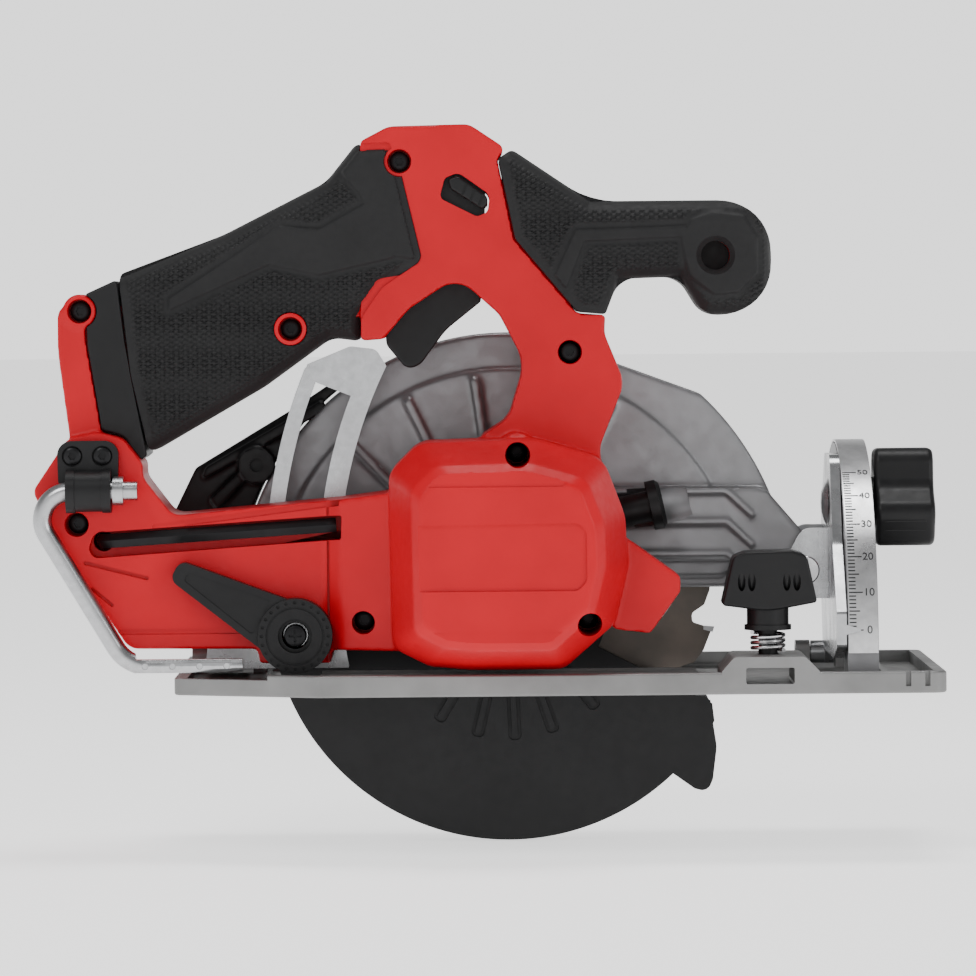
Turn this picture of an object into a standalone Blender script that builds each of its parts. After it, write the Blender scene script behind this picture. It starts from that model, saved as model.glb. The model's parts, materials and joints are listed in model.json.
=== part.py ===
"""Cordless circular saw with a stick battery bay, as separate sub-parts.

Row frame: +X forward along the cut, +Z up from the sole of the shoe, +Y towards the blade.
Y = 0 is the parting plane of the housing, and the arbor stands over X = 0.
Lengths in this file are millimetres; MM turns them into Blender's metres.
"""
import math

import bmesh
import bpy
from mathutils import Matrix, Vector

MM = 0.001
GAP = 0.3                      # clearance between touching pieces
ARC_STEP = 60.0                # degrees per facet on rounded outline corners

# driving dimensions
BLADE_RADIUS = 68.25
BLADE_TEETH = 21
BLADE_Y = 36.0
ARBOR = (0.0, 25.5)            # X, Z of the blade axis
GEAR_MODULE = 0.8
PINION_TEETH = 9
GEAR_TEETH = 43
FAN_VANES = 7
MOTOR_ANGLE = 95.5             # direction from the arbor to the motor axis, degrees
DEPTH_PIVOT = (96.0, 36.0)     # X, Z
BEVEL_PIVOT = (34.0, 8.0)      # Y, Z
BEVEL_PIN_RADIUS = 1.75
SHOE_FRONT, SHOE_REAR = 137.0, -106.0
SHOE_NEAR, SHOE_FAR = -52.0, 60.0
DECK = 3.0                     # thickness of the shoe's deck
HANDLE_HALF = 17.5             # half width of the red handle
GRIP_HALF = 18.8               # half width over the rubber
ARM_FACE = -26.0               # near face of the rear arm
MOTOR_FACE = -66.0             # outer face of the motor cover
BAY_ANGLE = math.radians(18.5)
BAY_MOUTH = (-138.0, 101.0)    # X, Z of a point on the battery bay's axis
LOCK_BOLT = (-67.6, 18.5)      # X, Z of the depth lock bolt
BEVEL_BOLT = (6.6, 58.0)       # Y, Z of the bevel bolt
HOOK_AXIS = (-33.0, 64.8)      # Y, Z of the rafter hook's hinge
TRIGGER_PIVOT = (-10.0, 132.0) # X, Z

centre_distance = GEAR_MODULE * (PINION_TEETH + GEAR_TEETH) / 2
MOTOR = (ARBOR[0] + centre_distance * math.cos(math.radians(MOTOR_ANGLE)),
         ARBOR[1] + centre_distance * math.sin(math.radians(MOTOR_ANGLE)))

PAINT = {                      # colour, roughness, metallic
    "red_plastic": ((0.72, 0.016, 0.022), 0.42, 0.0),
    "black_rubber": ((0.035, 0.036, 0.038), 0.72, 0.0),
    "black_plastic": ((0.028, 0.029, 0.031), 0.45, 0.0),
    "grey_casting": ((0.26, 0.26, 0.265), 0.48, 0.85),
    "shoe_casting": ((0.22, 0.22, 0.222), 0.5, 0.8),
    "zinc_plate": ((0.72, 0.72, 0.73), 0.25, 1.0),
    "dark_steel": ((0.06, 0.055, 0.052), 0.42, 0.9),
    "bright_steel": ((0.55, 0.55, 0.56), 0.3, 1.0),
    "black_oxide": ((0.03, 0.03, 0.032), 0.4, 0.7),
    "scale_face": ((0.62, 0.62, 0.63), 0.35, 0.9),
    "lens": ((0.85, 0.88, 0.9), 0.1, 0.0),
    "circuit_board": ((0.02, 0.16, 0.06), 0.5, 0.0),
    "motor_steel": ((0.3, 0.28, 0.26), 0.4, 0.8),
}

PLANES = {                     # outline axes u, v and thickness axis w in the row frame
    "XZ": lambda u, v, w: Vector((u, w, v)) * MM,
    "YZ": lambda u, v, w: Vector((w, u, v)) * MM,
    "XY": lambda u, v, w: Vector((u, v, w)) * MM,
}

# parts whose pieces lie nearly flush, where the exact solver tears the surface
NEAR_FLUSH = {"motor_side_housing", "rear_grip_near", "rear_grip_far", "depth_quadrant"}


# ---------------------------------------------------------------- scene and object helpers

def clear_scene():
    for item in list(bpy.data.objects):
        bpy.data.objects.remove(item)


def new_collection(name):
    collection = bpy.data.collections.new(name)
    bpy.context.scene.collection.children.link(collection)
    return collection


def material(name):
    found = bpy.data.materials.get(name)
    if found:
        return found
    colour, roughness, metallic = PAINT[name]
    made = bpy.data.materials.new(name)
    made.use_nodes = True
    shader = made.node_tree.nodes["Principled BSDF"]
    shader.inputs["Base Color"].default_value = (*colour, 1.0)
    shader.inputs["Roughness"].default_value = roughness
    shader.inputs["Metallic"].default_value = metallic
    made.diffuse_color = (*colour, 1.0)
    return made


def add_object(name, mesh, finish):
    made = bpy.data.objects.new(name, mesh)
    PARTS.objects.link(made)
    mesh.materials.append(material(finish))
    mesh.shade_smooth()
    mesh.set_sharp_from_angle(angle=math.radians(32))
    return made


def from_bmesh(name, bm, finish):
    bmesh.ops.recalc_face_normals(bm, faces=bm.faces)
    mesh = bpy.data.meshes.new(name)
    bm.to_mesh(mesh)
    bm.free()
    return add_object(name, mesh, finish)


def to_cutters(piece):
    PARTS.objects.unlink(piece)
    CUTTERS.objects.link(piece)
    piece.hide_render = True
    piece.display_type = "WIRE"


def combine(target, operation, pieces):
    for piece in pieces:
        boolean = target.modifiers.new(operation.lower(), "BOOLEAN")
        boolean.operation = operation
        boolean.solver = "MANIFOLD" if target.name in NEAR_FLUSH else "EXACT"
        boolean.object = piece
        to_cutters(piece)
    return target


def cut(target, *pieces):
    return combine(target, "DIFFERENCE", pieces)


def join(target, *pieces):
    return combine(target, "UNION", pieces)


def set_origin(piece, point):
    """Moves an object's origin onto a point of its joint axis, leaving its shape where it is."""
    place = Vector(point) * MM
    piece.data.transform(Matrix.Translation(-place) @ piece.matrix_basis)
    piece.matrix_basis = Matrix.Translation(place)


def hang_on(axis_name, point, pieces):
    """Parents pieces to an empty that stands on their joint axis."""
    empty = bpy.data.objects.new(axis_name, None)
    empty.location = Vector(point) * MM
    empty.empty_display_size = 0.01
    PARTS.objects.link(empty)
    for piece in pieces:
        piece.parent = empty
        piece.matrix_parent_inverse = Matrix.Translation(-empty.location)


# ---------------------------------------------------------------- outline helpers

def polar(centre, radius, degrees):
    angle = math.radians(degrees)
    return (centre[0] + radius * math.cos(angle), centre[1] + radius * math.sin(angle))


def arc(centre, radius, start, end, count):
    """Corner entries along an arc, already round, so each has no fillet of its own."""
    steps = [start + (end - start) * k / count for k in range(count + 1)]
    return [(*polar(centre, radius, a), 0.0) for a in steps]


def counter_clockwise(corners):
    following = corners[1:] + corners[:1]
    area = sum(a[0] * b[1] - b[0] * a[1] for a, b in zip(corners, following))
    return list(corners) if area > 0 else list(reversed(corners))


def offset_corners(corners, inset):
    """Shifts every side of a corner polygon inwards by inset."""
    corners = counter_clockwise(corners)
    if inset == 0:
        return corners
    total = len(corners)
    moved = []
    for i in range(total):
        before, here, after = (Vector(corners[(i + k) % total][:2]) for k in (-1, 0, 1))
        into, out = (here - before).normalized(), (after - here).normalized()
        left_in, left_out = Vector((-into.y, into.x)), Vector((-out.y, out.x))
        spread = 1.0 + left_in.dot(left_out)
        shift = (left_in + left_out) * (inset / max(spread, 0.2))
        turn = into.x * out.y - into.y * out.x
        radius = corners[i][2]
        if radius > 0:
            radius = max(radius - inset, 0.15) if turn > 0 else radius + inset
        moved.append((here.x + shift.x, here.y + shift.y, radius))
    return moved


def outline(corners, inset=0.0):
    """Closed list of points: each corner (u, v, radius) is rounded by an arc of that radius."""
    total = len(corners)
    shifted = offset_corners(corners, inset)
    points = []
    for i in range(total):
        before, here, after = (Vector(shifted[(i + k) % total][:2]) for k in (-1, 0, 1))
        radius = shifted[i][2]
        into, out = (here - before).normalized(), (after - here).normalized()
        turn = math.atan2(into.x * out.y - into.y * out.x, into.dot(out))
        if radius <= 0 or abs(turn) < 0.05:
            points.append((here.x, here.y))
            continue
        reach = radius * math.tan(abs(turn) / 2)
        limit = 0.49 * min((here - before).length, (after - here).length)
        if reach > limit:
            reach = limit
            radius = reach / math.tan(abs(turn) / 2)
        side = 1 if turn > 0 else -1
        begin = here - into * reach
        centre = begin + Vector((-into.y, into.x)) * radius * side
        first = math.atan2(begin.y - centre.y, begin.x - centre.x)
        count = max(1, round(abs(math.degrees(turn)) / ARC_STEP))
        for k in range(count + 1):
            angle = first + turn * k / count
            points.append((centre.x + radius * math.cos(angle), centre.y + radius * math.sin(angle)))
    return points


def rounded(low, high, low_radius=0.0, high_radius=0.0, steps=1):
    """Sections (level, inset) of a slab whose two rims are rounded."""
    sections = []
    for k in range(steps if low_radius else 0):
        angle = math.pi / 2 * k / steps
        sections.append((low + low_radius * (1 - math.cos(angle)), low_radius * (1 - math.sin(angle))))
    sections.append((low + low_radius, 0.0))
    sections.append((high - high_radius, 0.0))
    for k in range(1, (steps if high_radius else 0) + 1):
        angle = math.pi / 2 * k / steps
        sections.append((high - high_radius * (1 - math.sin(angle)), high_radius * (1 - math.cos(angle))))
    return sections


def loft(name, corners, sections, plane, finish):
    """Solid through copies of an outline, each at its level and drawn in by its inset."""
    place = PLANES[plane]
    bm = bmesh.new()
    rings = []
    for level, inset in sections:
        rings.append([bm.verts.new(place(u, v, level)) for u, v in outline(corners, inset)])
    count = len(rings[0])
    assert all(len(ring) == count for ring in rings), name
    for lower, upper in zip(rings, rings[1:]):
        for i in range(count):
            j = (i + 1) % count
            bm.faces.new((lower[i], lower[j], upper[j], upper[i]))
    bm.faces.new(rings[0])
    bm.faces.new(rings[-1])
    bm.normal_update()
    bmesh.ops.triangulate(bm, faces=[f for f in bm.faces if len(f.verts) > 4])
    return from_bmesh(name, bm, finish)


def slab(name, corners, low, high, plane="XZ", finish="black_plastic",
         low_radius=0.0, high_radius=0.0, steps=1):
    return loft(name, corners, rounded(low, high, low_radius, high_radius, steps), plane, finish)


def cutter(corners, low, high, plane="XZ"):
    return slab("cutter", corners, low, high, plane)


def box_corners(low_u, low_v, high_u, high_v, radius=0.0):
    return [(low_u, low_v, radius), (high_u, low_v, radius),
            (high_u, high_v, radius), (low_u, high_v, radius)]


def disc(name, centre, radius, low, high, plane="XZ", finish="black_plastic", segments=16):
    """Cylinder along the plane's normal."""
    bm = bmesh.new()
    bmesh.ops.create_cone(bm, cap_ends=True, segments=segments, radius1=radius * MM,
                          radius2=radius * MM, depth=(high - low) * MM)
    u_dir, v_dir, w_dir = (PLANES[plane](*unit) / MM for unit in ((1, 0, 0), (0, 1, 0), (0, 0, 1)))
    turn = Matrix((u_dir, v_dir, w_dir)).transposed().to_4x4()
    middle = PLANES[plane](centre[0], centre[1], (low + high) / 2)
    bmesh.ops.transform(bm, matrix=Matrix.Translation(middle) @ turn, verts=bm.verts)
    return from_bmesh(name, bm, finish)


def bore(centre, radius, low, high, plane="XZ", segments=14):
    return disc("cutter", centre, radius, low, high, plane, segments=segments)


def rod_between(name, start, end, radius, finish="black_plastic", segments=12, end_radius=None):
    """Round bar from one point to another."""
    first, last = Vector(start) * MM, Vector(end) * MM
    bm = bmesh.new()
    bmesh.ops.create_cone(bm, cap_ends=True, segments=segments, radius1=radius * MM,
                          radius2=(radius if end_radius is None else end_radius) * MM,
                          depth=(last - first).length)
    turn = (last - first).to_track_quat("Z", "Y").to_matrix().to_4x4()
    bmesh.ops.transform(bm, matrix=Matrix.Translation((first + last) / 2) @ turn, verts=bm.verts)
    return from_bmesh(name, bm, finish)


def turned(name, profile, centre, plane, finish, steps=14):
    """Turned piece: profile points (radius, level) swept about an axis normal to the plane."""
    closed = all(r > 0 for r, _ in profile)
    points = list(profile)
    area = sum(a[0] * b[1] - b[0] * a[1] for a, b in zip(points, points[1:] + points[:1]))
    if area > 0:
        points.reverse()
    mesh = bpy.data.meshes.new(name)
    edges = [(i, i + 1) for i in range(len(points) - 1)]
    if closed:
        edges.append((len(points) - 1, 0))
    mesh.from_pydata([(r * MM, 0.0, level * MM) for r, level in points], edges, [])
    made = bpy.data.objects.new(name, mesh)
    PARTS.objects.link(made)
    mesh.materials.append(material(finish))
    screw = made.modifiers.new("turn", "SCREW")
    screw.axis = "Z"
    screw.steps = steps
    screw.render_steps = steps
    screw.use_merge_vertices = True
    screw.merge_threshold = 0.00001
    u_dir, v_dir, w_dir = (PLANES[plane](*unit) / MM for unit in ((1, 0, 0), (0, 1, 0), (0, 0, 1)))
    if u_dir.cross(v_dir).dot(w_dir) < 0:
        u_dir = -u_dir
    made.matrix_basis = (Matrix.Translation(PLANES[plane](centre[0], centre[1], 0.0))
                         @ Matrix((u_dir, v_dir, w_dir)).transposed().to_4x4())
    return made


def wire(name, points, radius, finish, resolution=2):
    """Round wire along a list of points, as a curve with filled caps made into a mesh."""
    curve = bpy.data.curves.new(name, "CURVE")
    curve.dimensions = "3D"
    curve.bevel_depth = radius * MM
    curve.bevel_resolution = resolution
    curve.use_fill_caps = True
    spline = curve.splines.new("POLY")
    spline.points.add(len(points) - 1)
    for target, point in zip(spline.points, points):
        target.co = (*(Vector(point) * MM), 1.0)
    guide = bpy.data.objects.new(name + "_path", curve)
    bpy.context.scene.collection.objects.link(guide)
    mesh = bpy.data.meshes.new_from_object(guide.evaluated_get(bpy.context.evaluated_depsgraph_get()))
    bpy.data.objects.remove(guide)
    bm = bmesh.new()
    bm.from_mesh(mesh)
    bmesh.ops.remove_doubles(bm, verts=bm.verts, dist=0.00001)
    return from_bmesh(name, bm, finish)


def coil(name, centre, radius, wire_radius, low, high, turns, plane, finish):
    """Compression spring: a helix about an axis normal to the plane."""
    per_turn = 8
    total = int(turns * per_turn)
    points = []
    for k in range(total + 1):
        u, v = polar(centre, radius, 360.0 * k / per_turn)
        points.append(PLANES[plane](u, v, low + (high - low) * k / total) / MM)
    return wire(name, points, wire_radius, finish, resolution=1)


# ---------------------------------------------------------------- outlines shared by several parts

REAR_GRIP = [(-123.2, 133.2, 2), (-90, 145.4, 30), (-57, 162, 12), (-47.5, 173.9, 3), (-36.9, 174.2, 1),
             (-33, 163.5, 1), (-26.8, 137, 3), (-39.5, 128.6, 9), (-46.3, 119, 8), (-46.8, 111.4, 1.5),
             (-56, 112.6, 8), (-78, 96.8, 30), (-113.9, 76.2, 2), (-119.6, 101, 30)]
HEAD = [(-46, 174.9, 1.5), (-46.2, 121, 2), (-46.3, 111.4, 1), (-39.2, 111.9, 1), (-31, 121.5, 10),
        (-15.5, 131.5, 8), (-2.2, 119.5, 6), (5.8, 104, 12), (0.5, 86.5, 8), (-8.5, 80.6, 2),
        (-8.5, 70, 1), (30.5, 66, 2), (29.5, 77, 8), (37.6, 97.5, 8), (31.3, 113, 6), (31.6, 119.0, 1),
        (22.5, 119.7, 3), (2.7, 143.2, 4), (-2.4, 168.8, 2), (0.2, 172.4, 2), (-11.3, 180.1, 5), (-37, 179.6, 6)]
FRONT_GRIP = [(-2.0, 169.0, 1), (3.2, 143.5, 3), (22.8, 120.1, 3), (31.6, 119.3, 1), (36, 130.6, 8),
              (55.4, 131.2, 8), (63, 118.8, 8), (84.8, 118.8, 17), (84.5, 155.2, 17), (27, 155.2, 25),
              (2.3, 171.9, 2)]
FRONT_CORE = [(-20, 150, 2), (22.4, 122.4, 2), (33, 122.4, 5), (39, 134.5, 6), (58, 134.5, 6),
              (66, 122.5, 6), (81.5, 122.5, 13.5), (81.5, 151.5, 13.5), (28, 151.8, 20), (0, 165.5, 4),
              (-20, 165.5, 2)]
ARM = [(-33, 64, 1), (-53, 61.4, 20), (-106.3, 56.6, 5), (-115.8, 69, 5), (-115.6, 73, 1.5),
       (-122, 81.2, 5), (-130, 83.2, 3), (-139.5, 81.2, 4), (-150.8, 64.5, 3), (-136, 37.5, 10),
       (-120.5, 14.3, 5), (-80, 14, 0.5), (-79, 9.4, 0.5), (-56.5, 9.3, 0.5), (-56, 13.6, 0.5), (-30, 13.6, 1)]
STRAP = [(-139.2, 80, 1), (-128.8, 80, 1), (-129.9, 88.5, 4), (-133.7, 111, 10), (-134.5, 126.3, 1.5),
         (-142.8, 121.9, 3), (-142.8, 108, 20)]
SLEEVE = [(-129.3, 83.6, 2), (-122, 81.6, 4), (-117.6, 73.2, 1), (-114.7, 75.6, 1), (-121.3, 111, 40),
          (-123.8, 131.6, 1), (-134.0, 127.0, 1.5), (-133.4, 111, 10)]
MOTOR_COVER = [(-36.4, 15, 5), (-25, 9.2, 6), (-12, 8.0, 20), (17, 8.0, 6), (33, 22, 5), (37.4, 40, 12),
               (36.8, 56, 14), (30, 74, 8), (8, 80.4, 16), (-28, 79.4, 8), (-37.4, 70, 6)]
GEAR_CASE = [(-21, 5, 17), (21, 5, 17), (21.5, 38, 10), (31, 47, 3), (31, 63, 4), (-18, 63, 12), (-21.5, 40, 20)]
TRIGGER = [(-8, 123.6, 1), (-7.6, 134, 2), (-13, 136, 2), (-23, 133.5, 3), (-38.8, 117, 2), (-38.4, 110, 3),
           (-31.5, 101.6, 3.5), (-27.2, 104, 3), (-19.5, 114.5, 16)]

HEAD_SCREW = (-33.6, 168.4)
HOUSING_SCREWS = [             # name, X, Z, level of the well's mouth, level of the well's floor, tip level
    ("battery_ring", -135.8, 121.6, -HANDLE_HALF, -11.0, 8.0),
    ("head_top", -33.6, 168.4, -HANDLE_HALF, -11.0, 10.0),
    ("rear_grip", -68.7, 115.4, -GRIP_HALF, -12.0, 10.0),
    ("front_column", 20.2, 107.3, -HANDLE_HALF, -11.0, 10.0),
    ("motor_top", 3.1, 75.6, -30.0, -14.0, 3.6),
    ("hook_side", -136.8, 54.0, ARM_FACE, -16.0, 4.6),
    ("motor_front", 25.2, 22.6, -50.0, -20.0, 3.6),
    ("arm_front", -46.0, 22.5, -40.0, -16.0, 4.6),
]
WELL_RADIUS, BOSS_RADIUS, SHANK_HOLE = 3.7, 5.4, 1.8


# ---------------------------------------------------------------- housing

def bay_point(along, across, side):
    """Point in the battery bay's own axes: along its axis, across it, and sideways in Y."""
    x = BAY_MOUTH[0] + along * math.cos(BAY_ANGLE) - across * math.sin(BAY_ANGLE)
    z = BAY_MOUTH[1] + along * math.sin(BAY_ANGLE) + across * math.cos(BAY_ANGLE)
    return x, side, z


def bay_box(name, along_low, along_high, half_across, half_side, finish="black_plastic", round_off=5.0):
    """Rounded box aligned with the battery bay."""
    corners = box_corners(-half_side, -half_across, half_side, half_across, round_off)
    bm = bmesh.new()
    rings = []
    for along in (along_low, along_high):
        rings.append([bm.verts.new(Vector(bay_point(along, v, u)) * MM) for u, v in outline(corners)])
    count = len(rings[0])
    for i in range(count):
        j = (i + 1) % count
        bm.faces.new((rings[0][i], rings[0][j], rings[1][j], rings[1][i]))
    bm.faces.new(rings[0])
    bm.faces.new(rings[1])
    return from_bmesh(name, bm, finish)


def bay_cutter():
    return bay_box("cutter", -12.0, 64.0, 15.0, 14.0)


def trigger_pocket():
    """Room for the trigger through its whole swing."""
    corners = [(-4.6, 121.5, 1), (-4.6, 139, 1), (-20, 141, 2), (-45, 125.5, 2), (-44.6, 112, 1),
               (-38.5, 106, 1), (-20, 110, 2)]
    return cutter(corners, -8.3, 8.3)


def lock_off_slot():
    corners = [(-20.9, 156.6, 1.5), (-9.0, 150.6, 1.5), (-5.6, 152.0, 1.5), (-4.9, 157.6, 3), (-14.9, 164.7, 3),
               (-19.2, 163.0, 1.5)]
    return cutter(corners, -22.0, 22.0)


def screw_well(x, z, mouth, floor, blind_end):
    """Stepped hole: a wide well for the head and a narrow hole for the shank."""
    return turned("cutter", [(0, mouth - 30), (WELL_RADIUS, mouth - 30), (WELL_RADIUS, floor),
                             (SHANK_HOLE, floor), (SHANK_HOLE, blind_end), (0, blind_end)],
                  (x, z), "XZ", "black_plastic", steps=8)


def handle_core(name, side):
    """Red handle of one half: side is -1 for the motor side and 1 for the blade side."""
    near, split = HANDLE_HALF, GAP / 2
    levels = (-near, -split) if side < 0 else (split, near)
    radii = (2.4, 0.0) if side < 0 else (0.0, 2.4)
    body = slab(name, HEAD, *levels, "XZ", "red_plastic", *radii)
    recess_levels = (-22.0, GAP - GRIP_HALF + 2.0) if side < 0 else (GRIP_HALF - 2.0 - GAP, 22.0)
    recess = cutter(offset_corners(REAR_GRIP, -GAP), *recess_levels)
    if side < 0:
        cut(recess, bore(HEAD_SCREW, 4.7, -24.0, -10.0))
    cut(body, recess)
    core = GRIP_HALF - 2.4
    core_levels = (-core, -split) if side < 0 else (split, core)
    rear = slab("rear_core", offset_corners(REAR_GRIP, 2.4), *core_levels, "XZ", "red_plastic")
    front = slab("front_core", FRONT_CORE, *core_levels, "XZ", "red_plastic")
    bridge = slab("bridge", [(-50, 116, 0), (-38, 130, 0), (-30, 140, 0), (-38, 168, 0), (-52, 160, 0)],
                  *core_levels, "XZ", "red_plastic")
    strap = slab("strap", STRAP, *levels, "XZ", "red_plastic")
    return join(body, rear, front, bridge, strap)


def hollow_head(levels):
    """Cavity of the head and the front column, which the switch and the wiring need."""
    corners = [(-31, 133, 3), (-14, 137, 6), (3.5, 121, 8), (11, 104, 10), (7, 88, 8), (24, 84, 4), (31, 97, 6),
               (24, 112, 6), (10, 124, 3), (-2, 142, 4), (-7.5, 168, 3), (-13, 175, 4), (-24, 175, 3), (-30, 152, 3)]
    return cutter(corners, *levels)


def motor_side_housing():
    split = -GAP / 2
    body = handle_core("motor_side_housing", -1)
    arm = slab("arm", ARM, ARM_FACE, split, "XZ", "red_plastic", 3.0, 0.0)
    cover = loft("motor_cover", MOTOR_COVER,
                 [(MOTOR_FACE, 11.0), (-63.0, 7.5), (-52.0, 2.5), (-46.0, 0.0), (split, 0.0)], "XZ", "red_plastic")
    pod = slab("led_pod", [(33, 20, 1), (44.6, 18.6, 1), (54.2, 31.8, 1.5), (54.2, 36.4, 1.5), (34, 51, 2)],
               -38.0, -20.0, "XZ", "red_plastic", 2.5, 2.5)
    join(body, arm, cover, pod)
    cut(body, hollow_head((-14.5, 3.0)))
    cut(body, cutter([(-112, 34, 4), (-84, 34, 2), (-84, 26, 2), (-58, 26, 2), (-52, 30, 2), (-40, 30, 2),
                      (-40, 54, 2), (-78, 46, 2), (-112, 43, 4)], -20.0, 3.0))
    cut(body, bore(MOTOR, 25.6, -62.0, 3.0, segments=24))
    cut(body, cutter(offset_corners(GEAR_CASE, -GAP), -3.4, 3.0))
    cut(body, bore(ARBOR, 8.0, -8.0, 3.0, segments=12))
    cut(body, bay_cutter(), trigger_pocket(), lock_off_slot(), bore(TRIGGER_PIVOT, 1.9, -14.6, 14.6, segments=8))
    cut(body, bore((66.8, 137.7), 4.9, -22.0, 22.0, segments=12))
    bosses = [disc("boss", (x, z), BOSS_RADIUS, mouth + 2.5, split, segments=8)
              for name, x, z, mouth, _, _ in HOUSING_SCREWS if name in ("head_top", "front_column")]
    join(body, *bosses)
    for _, x, z, mouth, floor, _ in HOUSING_SCREWS:
        cut(body, screw_well(x, z, mouth, floor, 3.0))
    cut(body, hex_key_recess(), hex_key_hole())
    cut(body, bore(LOCK_BOLT, 4.4, -30.0, 3.0, segments=12))
    cut(body, vent_recess(), lens_recess())
    cut(body, spindle_lock_bore())
    for x in (-137.7, -128.2):
        cut(body, bore((x, 75.8), 1.5, -32.0, -16.0, segments=12))
    return body


def blade_side_housing():
    split = GAP / 2
    body = handle_core("blade_side_housing", 1)
    arm = slab("arm", ARM, split, 5.4, "XZ", "red_plastic", 0.0, 1.0)
    cover = slab("back_plate", offset_corners(MOTOR_COVER, 0.8), split, 4.0, "XZ", "red_plastic", 0.0, 1.0)
    join(body, arm, cover)
    cut(body, hollow_head((-3.0, 14.5)))
    cut(body, cutter(offset_corners(GEAR_CASE, -GAP), -3.0, 22.0))
    cut(body, bay_cutter(), trigger_pocket(), lock_off_slot(), bore(TRIGGER_PIVOT, 1.9, -14.6, 14.6, segments=8))
    cut(body, bore((66.8, 137.7), 4.9, -22.0, 22.0, segments=12))
    bosses = [disc("boss", (x, z), BOSS_RADIUS - 1, split, 15.5, segments=8)
              for name, x, z, _, _, _ in HOUSING_SCREWS if name in ("head_top", "front_column")]
    join(body, *bosses)
    for _, x, z, _, _, tip in HOUSING_SCREWS:
        cut(body, bore((x, z), SHANK_HOLE, -3.0, tip + 0.6, segments=8))
    cut(body, bore(LOCK_BOLT, 4.4, -3.0, 9.0, segments=12))
    cut(body, spindle_lock_bore())
    return body


def screw_well_mouth(x, z, low, high):
    return bore((x, z), 5.3, low, high, segments=14)


def grip_half(name, corners, side):
    """Rubber overmould of one half: a skin over the core, open at the parting plane."""
    split = GAP / 2
    levels = (-GRIP_HALF, -split) if side < 0 else (split, GRIP_HALF)
    radii = (3.5, 0.0) if side < 0 else (0.0, 3.5)
    inner = GRIP_HALF - 2.1
    inner_levels = (-inner, 3.0) if side < 0 else (-3.0, inner)
    return slab(name, corners, *levels, "XZ", "black_rubber", *radii), inner_levels


def rear_grip(name, side):
    skin, levels = grip_half(name, REAR_GRIP, side)
    cut(skin, cutter(offset_corners(REAR_GRIP, 2.1), *levels))
    cut(skin, bay_box("cutter", -12.0, 40.0, 16.9, 16.9, round_off=3.0))
    cut(skin, cutter(offset_corners(HEAD, -GAP), *levels))
    cut(skin, cutter([(-50, 116, 0), (-38, 130, 0), (-30, 140, 0), (-37, 168.5, 0), (-52, 160.5, 0)], *levels))
    if side < 0:
        cut(skin, screw_well_mouth(-68.7, 115.4, -30.0, -10.0))
        cut(skin, bore(HEAD_SCREW, 5.0, -30.0, -10.0))
    return skin


def front_grip(name, side):
    skin, levels = grip_half(name, FRONT_GRIP, side)
    cut(skin, cutter(offset_corners(FRONT_CORE, -GAP), *levels))
    cut(skin, cutter(offset_corners(HEAD, -GAP), -20.0, 20.0))
    cut(skin, bore((66.8, 137.7), 4.6, -22.0, 22.0, segments=12))
    return skin


def battery_sleeve():
    sleeve = slab("battery_sleeve", SLEEVE, -GRIP_HALF + 0.6, GRIP_HALF - 0.6, "XZ", "black_plastic", 2.0, 2.0)
    cut(sleeve, bay_cutter(), bore(HOUSING_SCREWS[0][1:3], 4.2, -22.0, -10.5, segments=8))
    for piece in (offset_corners(STRAP, -GAP), offset_corners(REAR_GRIP, -GAP), offset_corners(ARM, -GAP)):
        cut(sleeve, cutter(piece, -22.0, 22.0))
    return sleeve


def battery_contacts():
    block = bay_box("battery_contact_block", 56.5, 63.6, 11.0, 10.0, "black_plastic", 1.5)
    for side in (-6.0, 0.0, 6.0):
        fin = bay_box("fin", 50.0, 58.0, 7.0, 0.6, "black_plastic", 0.2)
        fin.data.transform(Matrix.Translation((0, side * MM, 0)))
        join(block, fin)
    return block


def housing_screw(name, x, z, floor, tip):
    head_top = floor - 2.6
    return turned("housing_screw_" + name,
                  [(0, head_top), (2.6, head_top), (3.2, head_top + 0.7), (3.2, floor - GAP), (1.5, floor - GAP),
                    (1.5, tip), (0, tip)], (x, z), "XZ", "black_oxide", steps=8)


def hex_key_recess():
    corners = [(-133.2, 46.2, 2.5), (-131.5, 43.2, 2.5), (-52.9, 48.6, 0.5), (-52.6, 56.4, 0.5), (-131.3, 51.4, 3)]
    return cutter(corners, -32.0, -20.0)


def hex_key_hole():
    """Blind hole for the key's short leg."""
    return bore((-128.6, 48.5), 3.3, -32.0, -9.0, segments=12)


def vent_recess():
    return cutter([(29.2, 66.8, 0.5), (34.2, 45.2, 0.5), (39.5, 44.6, 0.5), (38, 58, 3), (33, 71, 1)], -24.0, -18.6)


def vent_insert():
    corners = [(29.8, 66.8, 0.5), (34.7, 45.6, 0.5), (37.0, 46.6, 0.5), (36.2, 56.6, 6), (31.4, 69.2, 1)]
    return slab("vent_insert", corners, -23.6, -19.0, "XZ", "black_plastic", 0.6, 0.0)


def lens_recess():
    return rod_between("cutter", (48.4, -29.0, 26.9), (55.4, -29.0, 22.0), 4.0)


def led_lens():
    return rod_between("led_lens", (48.75, -29.0, 26.65), (50.2, -29.0, 25.64), 3.7, "lens", 16, 3.0)


def spindle_lock_line(distance):
    """Point on the spindle lock button's slanted axis, measured outwards from the motor shaft."""
    angle = math.radians(12.5)
    return (MOTOR[0] + distance * math.cos(angle), 6.0, MOTOR[1] + 0.4 + distance * math.sin(angle))


def spindle_lock_bore():
    return rod_between("cutter", spindle_lock_line(22.0), spindle_lock_line(60.0), 5.4, segments=14)


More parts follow.
